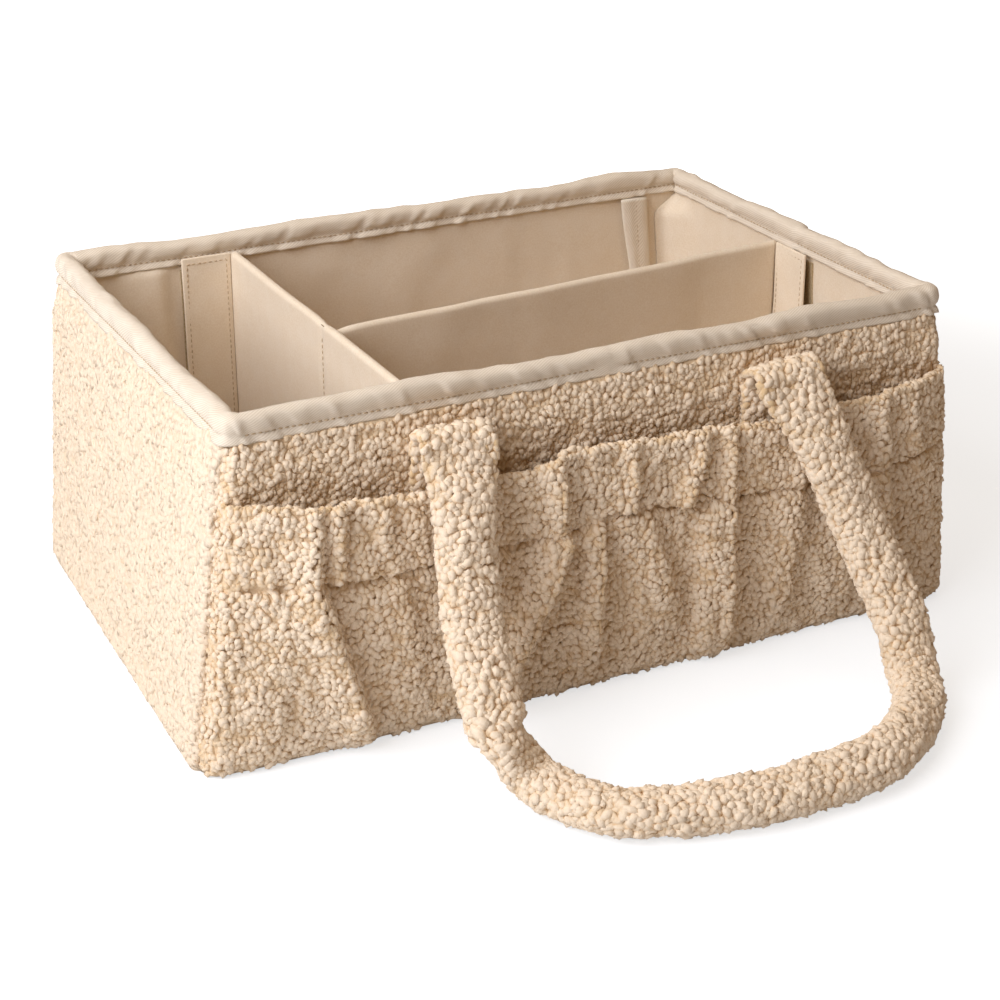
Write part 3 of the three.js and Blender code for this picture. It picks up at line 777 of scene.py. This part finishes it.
# rows of x, y, z, side x, side y, side z, width, thickness from the sewn end down to the foot
def legRows(footX):
    x = math.copysign(strap["foldX"], footX)
    tabY = strap["foldY"] + strap["foldRadius"]
    tabZ = stopsBetween(strap["tabFoot"], strap["foldZ"], 2)[:-1]
    tab = xyz(x, tabY, tabZ)
    turn = np.linspace(0, math.pi, 12)[:-1]
    foldY = strap["foldY"] + strap["foldRadius"] * np.cos(turn)
    foldZ = strap["foldZ"] + strap["foldRadius"] * np.sin(turn)
    fold = xyz(x, foldY, foldZ)
    leg = curveThrough([(x + (footX - x) * share, y, z) for share, y, z in strap["legs"]], 16)
    fill = smoothStep(np.linspace(0, 1, len(leg)), 0, strap["padRun"])
    fill = np.concatenate([np.zeros(len(tab) + len(fold)), fill])[:, None]
    centre = np.vstack([tab, fold, leg])
    tilt = math.radians(strap["rightTilt"] if footX > 0 else 0) * (1 - fill)
    side = np.hstack([np.cos(tilt), 0 * tilt, np.sin(tilt)])
    width = strap["endWidth"] + (strap["width"] - strap["endWidth"]) * fill
    thickness = strap["endThickness"] + (strap["thickness"] - strap["endThickness"]) * fill
    return np.hstack([centre, side, width, thickness]), len(tab) + len(fold)


def gripRows(leftFoot, rightFoot):
    across = strap["rightFootX"] - strap["leftFootX"]
    loop = [(strap["leftFootX"] + across * share, y, z) for share, y, z, roll in strap["loop"]]
    path = curveThrough([leftFoot, *loop, rightFoot], 12)
    path = evenly(path, path, 160)
    share = np.linspace(0, 1, len(path))
    rolls = [0, *[row[3] for row in strap["loop"]], 0]
    roll = np.radians(np.interp(share, np.linspace(0, 1, len(rolls)), rolls))[:, None]
    run = unit(np.gradient(path, axis=0))
    level = unit(xyz(-run[:, 1], run[:, 0], 0.0))
    side = level * np.cos(roll) + np.cross(run, level) * np.sin(roll)
    inGrip = smoothStep(np.minimum(share, 1 - share), 0, strap["gripRun"])[:, None]
    width = strap["width"] + (strap["gripWidth"] - strap["width"]) * inGrip
    return np.hstack([path, side, width, 0 * width + strap["thickness"]])


# the whole strap as even rows of centre, side, up, width and thickness, and where its ends part from the loop
def strapRows():
    left, sewn = legRows(strap["leftFootX"])
    right, sewn = legRows(strap["rightFootX"])
    grip = gripRows(left[-1, :3], right[-1, :3])
    right[:, 3] *= -1
    rows = np.vstack([left, grip[1:-1], right[::-1]])
    length = lengthAlong(rows[:, :3])
    cutRow = round(sewn + strap["cutShare"] * (len(left) - sewn))
    cuts = length[cutRow], length[len(rows) - 1 - cutRow]
    count = round(length[-1])
    reach = strap["smoothing"]
    smooth = np.pad(evenly(rows[:, :3], rows, count), ((reach, reach), (0, 0)), mode="edge")
    even = sum(smooth[i : i + count] for i in range(2 * reach + 1)) / (2 * reach + 1)
    run = unit(np.gradient(even[:, :3], axis=0))
    side = even[:, 3:6]
    side = unit(side - np.sum(side * run, axis=1, keepdims=True) * run)
    stops = np.linspace(0, length[-1], count)
    return np.hstack([even[:, :3], side, np.cross(run, side), even[:, 6:]]), stops, cuts


strapTable, strapStops, strapCuts = strapRows()

# points evenly spread round the section of the grip
roundAngle = np.linspace(0, 2 * math.pi, 721)
strapSection = np.stack([np.cos(roundAngle), np.sin(roundAngle)], axis=1)
strapSection = np.sign(strapSection) * np.abs(strapSection) ** strap["fullness"]
strapSection = evenly(strapSection * (strap["width"], strap["thickness"]), strapSection, 361)


def strapGround(around, along, sign=1):
    rows = readAt(along, strapStops, strapTable)
    share = np.mod(around / strap["girth"], 1)
    section = readAt(share, np.linspace(0, 1, len(strapSection)), strapSection)
    half = section * (rows[..., 9:11] / 2 - strap["pile"])
    points = rows[..., :3] + rows[..., 3:6] * half[..., :1] + rows[..., 6:9] * half[..., 1:]
    points[..., 2] = np.maximum(points[..., 2], fleece["ground"])
    points[..., :2] *= sign
    return points


def handle(side, sign, seed):
    def ground(around, along):
        return strapGround(around, along, sign)

    leftCut, rightCut = strapCuts
    parts = {
        "left_end": (0, leftCut, ["left_tab", "left_leg", "left_leg_padding"]),
        "right_end": (rightCut, strapStops[-1], ["right_tab", "right_leg", "right_leg_padding"]),
        "loop": (leftCut, rightCut, ["grip", "grip_padding"]),
    }
    around = stopsBetween(0, strap["girth"], fleece["groundStep"])
    for count, (part, (start, end, standsFor)) in enumerate(parts.items()):
        skin = pointsOn(ground, around, stopsBetween(start, end, fleece["groundStep"]))
        skin[:, -1] = skin[:, 0]
        nodes = [f"{side}_handle_{node}" for node in standsFor]
        mesh = gridMesh(f"{side}_handle_{part}", skin, groundLayer(skin))
        padded = addPiece(mesh, teddyFleece, body=None, standsFor=nodes)
        ends = (0, strap["girth"]), (start, end)
        mesh = curlsOn(f"{side}_handle_{part}_curls", ground, *ends, seed + count, coarse=strap["curlSize"])
        curls = addPiece(mesh, teddyFleece, body=None)
        for piece in (padded, curls):
            if part == "loop":
                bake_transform(piece)
            else:
                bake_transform(piece)


handle("front", 1, 7)
handle("back", -1, 17)
print("handles made")


# rim binding and its stitches

binding = {
    "middleInset": 8.15,
    "half": 4.15,
    "foot": 159,
    "top": 172,
    "tape": 1.2,
    "stitchHeight": 162.8,
    "stitchDip": 0.9,
    "outerPucker": 1.9,
    "innerPucker": 1.3,
    "puckerSizes": (4.6, 11),
    "puckerSlant": 0.7,  # they lean this far along the tape
    "puckerReach": 7.5,  # and fade this far from the stitches
    "puckerRange": (-0.45, 0.9),  # the wall's edge inside keeps the tape out
    "cornerPoint": 1.7,  # the folded tape makes a point at each corner
    "sag": 1.5,
    # one end of the tape lies over the other: place, step, length of its edge and of its run
    "lap": (308, 0.8, 1.4, 30),
    "step": 1.2,
}

# spacing and size of a stitch
stitch = {"pitch": 3.1, "length": 2.5, "width": 0.75, "height": 0.55}


# one short bead of thread for each stitch along a line on a cloth face
def stitches(name, line, outward, body="caddy"):
    length = lengthAlong(line)
    stops = (np.arange(int(length[-1] / stitch["pitch"])) + 0.5) * stitch["pitch"]
    place = readAt(stops, length, line)
    run = readAt(stops, length, np.gradient(line, axis=0))
    face = readAt(stops, length, np.broadcast_to(outward, line.shape))
    size = Matrix.Diagonal([stitch[way] / 2 * mm for way in ("length", "width", "height")]).to_4x4()
    threads = bmesh.new()
    for centre, forward, out in zip(place, run, face):
        forward = Vector(forward).normalized()
        across = Vector(out).cross(forward).normalized()
        axes = Matrix((forward, across, forward.cross(across))).transposed().to_4x4()
        bead = Matrix.Translation(Vector(centre) * mm) @ axes @ size
        bmesh.ops.create_icosphere(threads, subdivisions=1, radius=1, matrix=bead)
    addPiece(meshFrom(name, threads), sewingThread, body=body)


# distance from the tape's middle and height, from the outer edge over the rim to the inner edge
def bindingProfile():
    half, foot, top = binding["half"], binding["foot"], binding["top"]
    z = stopsBetween(foot, top - half, 0.9)
    arch = np.linspace(0, math.pi, 14)[1:-1]
    out = np.concatenate([0 * z + half, half * np.cos(arch), 0 * z - half])
    high = np.concatenate([z, top - half + half * np.sin(arch), z[::-1]])
    return out, high


# how far the tape's two faces swell out between the stitches and the edge
def tapeSwell(along, around, out, high, fromSeam):
    slant = along + binding["puckerSlant"] * around * np.sign(out)
    small, large = binding["puckerSizes"]
    pucker = softNoise(slant, around * 0.12, small, 61) + 0.6 * softNoise(slant, around * 0.1, large, 62)
    pucker = np.where(out > 0, binding["outerPucker"], binding["innerPucker"]) * pucker
    pucker = (1 + 0.3 * bell(fromSeam, 16).sum(axis=-1)) * pucker
    away = np.abs(high - binding["stitchHeight"])
    pucker = pucker * bell(away, binding["puckerReach"]) * smoothStep(away, 0, 2)
    dip = binding["stitchDip"] * bell(away, 1.3) - 0.5 * smoothStep(away, 1, 4)
    return np.clip(pucker, *binding["puckerRange"]) - dip


# how far the tape's top is slack
def tapeSlack(along, around, out):
    slant = along + binding["puckerSlant"] * around * np.sign(out)
    slack = binding["sag"] * softLine(along, 38, 63) + 0.5 * softLine(slant, 9, 65)
    return np.maximum(slack + 0.4, -0.8)  # the wall's edge inside holds it up


def rimBinding():
    out, high = (values[:, None] for values in bindingProfile())
    along = stopsBetween(0, rimLength, binding["step"])[None, :]
    face = np.sign(out) * smoothStep(np.abs(out), 0, binding["half"] * 0.9)
    around = lengthAlong(np.hstack([out, high]))[:, None]
    fromSeam = pastPlace(along[..., None], cornerSeams)
    point = binding["cornerPoint"] * np.exp(-np.abs(fromSeam / 7) ** 1.3).sum(axis=-1)
    swell = np.abs(face) * tapeSwell(along, around, out, high, fromSeam)
    place, rise, edge, run = binding["lap"]
    lapStart = place + edge
    lap = rise * smoothStep(along, place, lapStart) * (1 - smoothStep(along, lapStart, lapStart + run))
    ends = smoothStep(np.minimum(along, rimLength - along), 0, 12)  # so that the ring closes
    z = high + (tapeSlack(along, around, out) * ends + lap) * smoothStep(high, 162, 170)
    reach = out + np.sign(out) * swell * ends + face * lap + point
    # the channel that holds the wall's edge closes the section
    inner = binding["half"] - binding["tape"]
    foot, roof = binding["foot"], binding["top"] - binding["tape"] - 0.4
    reach = np.vstack([reach, *[point + value for value in (-inner, -inner, inner, inner)], reach[:1]])
    z = np.vstack([z, *[0 * along + value for value in (foot, roof, roof, foot)], z[:1]])
    points = onWall(along, binding["middleInset"] - reach, z)
    points[:, -1] = points[:, 0]
    measure = np.vstack([around, np.zeros((5, 1))])
    mesh = gridMesh("twill_rim_binding", points, {"weave": xyz(along, measure, 0.0)})
    addPiece(mesh, twillTape, standsFor=["rim_binding"])


def rimStitches():
    line = np.linspace(0, rimLength, 1400)
    height = binding["stitchHeight"] + 0.35 * softLine(line, 30, 64)
    angle = np.interp(line, wallStops, facing)
    outward = xyz(np.cos(angle), np.sin(angle), 0.0)
    for name, way in (("outer", 1), ("inner", -1)):
        distance = way * (binding["half"] - binding["stitchDip"] * 0.75)
        thread = onWall(line, binding["middleInset"] - distance, height)
        stitches(name + "_rim_stitching", thread, way * outward)


rimBinding()
rimStitches()
print("rim binding made")


# linings

liningCloth = {
    "inset": 10.9,
    "thickness": 0.95,
    "foot": 7.6,
    "top": 169,
    "endGap": 0.3,  # to the corner seams
    "wave": 1.3,  # soft waves where the cloth isn't stretched tight
    "waveSizes": (34, 15),
    "waveRun": (8, 40),  # they come up between these distances from the corner seams
    "tightAbove": (138, 160),  # they fade out between these heights
    "bulge": (-138, 3.2, 15, 5),  # loose cloth beside the cross divider's tab: place, rise, its two flanks
    "bridge": (15, 36),  # the right lining leaves the corner this far out, over this length of its back end
    "bridgeTop": (146, 159),  # between these heights it goes back to the wall
    "step": 3.0,
}


def wallLining(side, start, end, seed):
    start, end = start + liningCloth["endGap"], end - liningCloth["endGap"]
    along = stopsBetween(start, end, liningCloth["step"])[None, :]
    z = stopsBetween(liningCloth["foot"], liningCloth["top"], liningCloth["step"])[:, None]
    ends = smoothStep(np.minimum(along - start, end - along), *liningCloth["waveRun"])
    large, small = liningCloth["waveSizes"]
    wave = 0.5 + 0.5 * softNoise(along + 0.15 * z, z * 0.22, large, seed)
    wave = wave + 0.35 * softNoise(along, z * 0.5, small, seed + 1)
    loose = 1 - smoothStep(z, *liningCloth["tightAbove"])
    wave = liningCloth["wave"] * np.maximum(wave, 0) * ends * loose
    inner = onWall(along, liningCloth["inset"] + wave, z)
    if side == "back":
        bulgeX, rise, broad, steep = liningCloth["bulge"]
        bulge = rise * fold(inner[..., 0] - bulgeX, broad, steep)
        inner[..., 1] -= bulge * smoothStep(z, 10, 150) * (z < 160)
    if side == "right":
        reach, length = liningCloth["bridge"]
        below = 1 - smoothStep(z, *liningCloth["bridgeTop"])
        inner[..., 0] -= reach * smoothStep(along, end - length, end) * below
    outer = onWall(along, liningCloth["inset"] - liningCloth["thickness"], z[::-8])
    mesh = gridMesh(side + "_lining_cloth", np.concatenate([inner, outer, inner[:1]]))
    addPiece(mesh, brushedLining, standsFor=[side + "_lining"])


for count, (side, ends) in enumerate(wallEnds.items()):
    wallLining(side, *ends, 71 + 2 * count)

baseSheets = {
    "base_lining_cloth": {"half": (196, 118.6), "foot": 6.4, "thickness": 0.9, "wave": 0.25, "seed": 81},
    "base_fleece_panel": {"half": (200, 122), "foot": 0.1, "thickness": 2.7, "wave": 0.1, "seed": 82},
}


def flatSheet(name, material, node):
    shape = baseSheets[name]
    halfX, halfY = shape["half"]
    sheet = bmesh.new()
    bmesh.ops.create_grid(sheet, x_segments=80, y_segments=52, size=0.5)
    reachX = max(vert.co.x for vert in sheet.verts)
    reachY = max(vert.co.y for vert in sheet.verts)
    for vert in sheet.verts:
        x, y = vert.co.x / reachX * halfX, vert.co.y / reachY * halfY
        lift = shape["wave"] * (1 + float(softNoise(np.array(x), np.array(y), 45, shape["seed"]))) / 2
        vert.co = Vector((x, y, shape["foot"] + shape["thickness"] + lift)) * mm
    bmesh.ops.recalc_face_normals(sheet, faces=sheet.faces)
    bmesh.ops.solidify(sheet, geom=sheet.faces[:], thickness=shape["thickness"] * mm)
    bmesh.ops.recalc_face_normals(sheet, faces=sheet.faces)
    addPiece(meshFrom(name, sheet), material, standsFor=[node])


flatSheet("base_lining_cloth", brushedLining, "base_lining")
flatSheet("base_fleece_panel", teddyFleece, "base_outer_panel")
print("linings and base made")


# bound seam allowances inside the corners

seamRoll = {
    "width": 20,
    "thickness": 4.4,
    "foot": 7.7,
    "top": 158.6,
    "fromArc": 36.9,  # its far edge is this far from the centre line of the corner curve
    "inset": 14.3,  # its middle lies this far in from the outer fleece face
    "rolledIn": (4.5, 3),  # how far its far and near edges are rolled in
    "flare": (95, 158),  # the far edge opens out between these heights
    "groove": (0.25, 0.12),  # depth and width of its stitch line, as shares of the roll
    "pucker": 0.07,
    "step": 1.6,
}


# the left ones are turned against the end wall, the right ones against the long wall
def seamBinding(name, signX, signY, seed):
    onEndWall = signX < 0
    z = stopsBetween(seamRoll["foot"], seamRoll["top"], seamRoll["step"])[:, None]
    angle = np.linspace(0, 2 * math.pi, 37)[None, :]
    half, deep = seamRoll["width"] / 2, seamRoll["thickness"] / 2
    groove, grooveWidth = seamRoll["groove"]
    bulge = 1 - groove * bell(np.cos(angle) + 0.1, grooveWidth) * (np.sin(angle) < 0)
    pucker = 1 + seamRoll["pucker"] * softNoise(angle * 4 + z * 0.12, z * 0.6, 4, seed)
    besideArc, facedArc = ("arcY", "arcX") if onEndWall else ("arcX", "arcY")
    face = caddyBox[facedArc] + caddyBox["cornerRadius"] - seamRoll["inset"]
    middle = caddyBox[besideArc] - seamRoll["fromArc"] + half

    def inBox(across, depth, height):
        x, y = (face + depth, middle + across) if onEndWall else (middle + across, face + depth)
        return xyz(signX * (x + leanAt(height)), signY * y, height)

    across = half * np.sign(np.cos(angle)) * np.abs(np.cos(angle)) ** 0.7 + 0 * z
    farEdge, nearEdge = seamRoll["rolledIn"]
    rolled = 1 - smoothStep(z, *seamRoll["flare"])
    across = np.where(across < 0, across * (1 - farEdge / half * rolled), across * (1 - nearEdge / half))
    points = inBox(across, deep * np.sin(angle) * bulge * pucker, z)
    points[:, -1] = points[:, 0]
    mesh = gridMesh(name + "_tape", points, {"weave": xyz(z, angle * half / 1.6, 0.0)})
    addPiece(mesh, twillTape, standsFor=[name])
    line = np.linspace(seamRoll["foot"] + 3, seamRoll["top"] - 1, 60)
    inwards = (-signX, 0.0, 0) if onEndWall else (0.0, -signY, 0)
    stitches(name + "_stitching", inBox(-0.1 * half, -0.8 * deep, line), np.array(inwards))


corners = {"front_left": (-1, -1), "front_right": (1, -1), "back_left": (-1, 1), "back_right": (1, 1)}
for seed, (corner, signs) in enumerate(corners.items(), start=91):
    seamBinding(corner + "_seam_binding", *signs, seed)
print("seam bindings made")


# dividers

divider = {
    "half": 2.5,  # half its thickness
    "foot": 7.8,
    "crossX": -95,
    "crossTop": 163,
    "crossHalf": 115.8,
    "seamY": -10,  # where the long panel is sewn through the cross panel
    "seamPinch": (0.9, 2.2),  # depth and width of that seam
    "seamSag": (0.7, 7),  # depth and width of the top edge's dip there
    "rootSag": (1.2, 6),  # and at the long panel's root
    "sagReach": 30,  # how far down the cloth is drawn by them
    "crossWave": (0.6, 48),  # height and size of the cover's waves
    "longTop": 161,
    "longRoot": (-92.2, -15),
    "longLength": 272.6,
    "longSkew": 4.4,  # degrees
    "longWave": (1.5, 36, 17),
    "step": 2.5,
}


# a cloth-covered board drawn along +X: one face up, over the soft top edge and down the other face
def coverPoints(start, end, top, halfAt, waveAt, dipAt):
    along = stopsBetween(start, end, divider["step"])[None, :]
    half = halfAt(along)
    z = stopsBetween(divider["foot"], top - divider["half"], divider["step"])[:, None]
    arch = np.linspace(0, math.pi, 10)[1:-1, None]
    side = np.concatenate([0 * z - 1, -np.cos(arch), 0 * z + 1, -np.ones((1, 1))])
    height = np.concatenate([z, top - divider["half"] + divider["half"] * np.sin(arch), z[::-1], z[:1]])
    height = height - dipAt(along) * smoothStep(height, top - divider["sagReach"], top)
    return xyz(along, side * half + waveAt(along, height), height)


def crossDivider():
    half, seamY = divider["half"], divider["seamY"]
    depth, width = divider["seamPinch"]
    sag, sagWidth = divider["seamSag"]
    rise, size = divider["crossWave"]
    points = coverPoints(
        -divider["crossHalf"], divider["crossHalf"], divider["crossTop"],
        lambda along: half - depth * bell(along - seamY, width),
        lambda along, z: rise * softNoise(along, z * 0.4, size, 101),
        lambda along: sag * bell(along - seamY, sagWidth),
    )
    along, side, z = np.moveaxis(points, -1, 0)
    mesh = gridMesh("cross_divider_cloth", xyz(divider["crossX"] + side, along, z))
    addPiece(mesh, brushedLining, body="cross_divider", standsFor=["cross_divider_cover"])
    line = np.linspace(divider["foot"] + 2, divider["crossTop"] - 5, 60)
    seam = xyz(divider["crossX"] - half + 0.75, seamY, line)
    stitches("cross_divider_seam_stitching", seam, np.array([-1.0, 0, 0]), body="cross_divider")


def longDivider():
    rootX, rootY = divider["longRoot"]
    skew = math.radians(divider["longSkew"])
    length = divider["longLength"]
    sag, sagWidth = divider["rootSag"]
    rise, large, small = divider["longWave"]

    def waveAt(along, z):
        calm = smoothStep(np.minimum(along, length - along), 4, 50)
        slow = softNoise(along + 0.1 * z, z * 0.25, large, 103) + 0.4 * softNoise(along, z * 0.3, small, 104)
        return rise * slow * calm

    points = coverPoints(
        0, length, divider["longTop"],
        lambda along: np.interp(along, [0, divider["half"]], [divider["half"] / 4, divider["half"]]),
        waveAt,
        lambda along: sag * bell(along, sagWidth),
    )
    along, side, z = np.moveaxis(points, -1, 0)
    x = rootX + along * math.cos(skew) - side * math.sin(skew)
    y = rootY + along * math.sin(skew) + side * math.cos(skew)
    mesh = gridMesh("long_divider_cloth", xyz(x, y, z))
    addPiece(mesh, brushedLining, body="long_divider", standsFor=["long_divider_cover"])


crossDivider()
longDivider()

# rounding of its edges, how far in its stitches run, and its slack
tab = {"edge": 0.7, "inFromSide": 2.6, "inFromTop": 3.4, "inFromFoot": 2, "wave": 0.35, "waveSize": 22}


# a flat cloth tab with rounded edges, in the space of its solid
def dividerTab(node, seed):
    low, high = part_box(node)
    slab = bmesh.new()
    bmesh.ops.create_cube(slab, size=1)
    bmesh.ops.scale(slab, vec=high - low, verts=slab.verts)
    bmesh.ops.translate(slab, vec=(low + high) / 2, verts=slab.verts)
    bevel = {"offset": tab["edge"] * mm, "affect": "EDGES", "segments": 3, "profile": 0.5, "material": -1}
    bmesh.ops.bevel(slab, geom=slab.edges[:], **bevel)
    long = [edge for edge in slab.edges if edge.calc_length() > 10 * mm]
    bmesh.ops.subdivide_edges(slab, edges=long, cuts=14, use_grid_fill=True)
    thin = min(range(3), key=lambda i: high[i] - low[i])
    for vert in slab.verts:
        across, up = np.array((vert.co.x + vert.co.y) / mm), np.array(vert.co.z / mm)
        vert.co[thin] += tab["wave"] * mm * float(softNoise(across, up, tab["waveSize"], seed))
    bmesh.ops.recalc_face_normals(slab, faces=slab.faces)
    mesh = meshFrom(node + "_cloth", slab)
    addPiece(mesh, brushedLining, body=node, standsFor=[node])
    inwards = np.zeros(3)
    inwards[thin] = -1 if (low + high)[thin] > 0 else 1
    wide = 1 - thin
    left, right = low[wide] / mm + tab["inFromSide"], high[wide] / mm - tab["inFromSide"]
    foot, top = low.z / mm + tab["inFromFoot"], high.z / mm - tab["inFromTop"]
    corners = np.array([(left, foot), (left, top), (right, top), (right, foot)])
    path = evenly(corners, corners, 300)
    line = np.zeros((len(path), 3))
    line[:, thin] = (low if inwards[thin] < 0 else high)[thin] / mm
    line[:, wide] = path[:, 0]
    line[:, 2] = path[:, 1]
    stitches(node + "_stitching", line, inwards, body=node)


tabs = ("cross_divider_back_tab", "cross_divider_front_tab", "long_divider_end_tab")
for seed, node in enumerate(tabs, start=111):
    dividerTab(node, seed)
print("dividers made")


# floor, light and camera

studio = {
    "aim": (0, -0.05, 0.09),  # both softboxes point here
    "floorShare": 0.55,  # how much of the floor's own shade the camera sees near the caddy
    "floorFade": (0.42, 0.85),  # it fades to plain white between these distances, in metres
    "floorGlow": 1.5,
    "key": 22.6,  # watts, as for the top light
    "keyPlace": (-1.08, -0.36, 0.95),
    "keySize": 1.1,
    "keyColour": "#F2F6FF",
    "top": 5,
    "topPlace": (0.05, 0.1, 1.4),
    "topSize": 1.2,
    "topColour": "#FFF6EA",
    "fill": 0.17,  # strength of the room's own warm light
    "fillColour": "#FFD09C",
}


def mixShaders(tree, share, first, second):
    return addNode(tree, "ShaderNodeMixShader", {0: share, 1: first, 2: second}).outputs[0]


def isCameraRay(tree):
    return addNode(tree, "ShaderNodeLightPath").outputs["Is Camera Ray"]


# white paper sweep: it shows the camera plain white with the object's soft shadow
def floorMaterial(name):
    material, tree, shader = newMaterial(name)
    tree.nodes.remove(shader)
    paper = addNode(tree, "ShaderNodeBsdfDiffuse", {"Color": linear("#EEF1F4")}).outputs[0]
    white = {"Color": linear("#FFFFFF"), "Strength": studio["floorGlow"]}
    glow = addNode(tree, "ShaderNodeEmission", white).outputs[0]
    place = addNode(tree, "ShaderNodeTexCoord").outputs["Object"]
    away = addNode(tree, "ShaderNodeVectorMath", {0: place}, operation="LENGTH").outputs["Value"]
    near, far = studio["floorFade"]
    inputs = {"Value": away, "From Min": near, "From Max": far, "To Min": studio["floorShare"], "To Max": 0}
    share = addNode(tree, "ShaderNodeMapRange", inputs, interpolation_type="SMOOTHSTEP").outputs["Result"]
    plain = mixShaders(tree, isCameraRay(tree), paper, mixShaders(tree, share, glow, paper))
    tree.links.new(plain, tree.nodes["Material Output"].inputs["Surface"])
    return material


def makeStudio():
    sweep = bmesh.new()
    bmesh.ops.create_grid(sweep, x_segments=1, y_segments=1, size=6)
    mesh = meshFrom("paper_floor", sweep)
    floor = bpy.data.objects.new("paper_floor", mesh)
    mesh.materials.append(floorMaterial("white paper floor"))
    scene.collection.objects.link(floor)
    for name in ("key", "top"):
        lamp = bpy.data.lights.new(name + " softbox", "AREA")
        lamp.energy = studio[name]
        lamp.color = linear(studio[name + "Colour"])[:3]
        lamp.size = studio[name + "Size"]
        softbox = bpy.data.objects.new(lamp.name, lamp)
        softbox.location = studio[name + "Place"]
        towards = Vector(studio["aim"]) - softbox.location
        softbox.rotation_euler = towards.to_track_quat("-Z", "Y").to_euler()
        scene.collection.objects.link(softbox)
    world = bpy.data.worlds.new("soft room")
    scene.world = world
    world.use_nodes = True
    tree = world.node_tree
    around = tree.nodes["Background"]
    around.inputs["Color"].default_value = linear(studio["fillColour"])
    around.inputs["Strength"].default_value = studio["fill"]
    white = addNode(tree, "ShaderNodeBackground", {"Color": linear("#FFFFFF"), "Strength": 1})
    both = mixShaders(tree, isCameraRay(tree), around.outputs[0], white.outputs[0])
    tree.links.new(both, tree.nodes["World Output"].inputs["Surface"])


# where the photo was taken from, in metres
view = {
    "place": (-0.4675, -0.9304, 0.5229),
    "right": (0.891, -0.454, 0.001),
    "forward": (0.4125, 0.8092, -0.4185),
    "lens": 76.9,  # mm, for the sensor below
    "sensor": 36,
}


def makeCamera():
    forward = Vector(view["forward"]).normalized()
    right = Vector(view["right"])
    right = (right - forward * right.dot(forward)).normalized()
    up = right.cross(forward)
    camera = bpy.data.objects.new("camera", bpy.data.cameras.new("camera"))
    camera.data.lens = view["lens"]
    camera.data.sensor_width = view["sensor"]
    turn = Matrix((right, up, -forward)).transposed().to_4x4()
    camera.matrix_world = Matrix.Translation(view["place"]) @ turn
    scene.collection.objects.link(camera)
    scene.camera = camera


makeStudio()
makeCamera()
print("studio made")
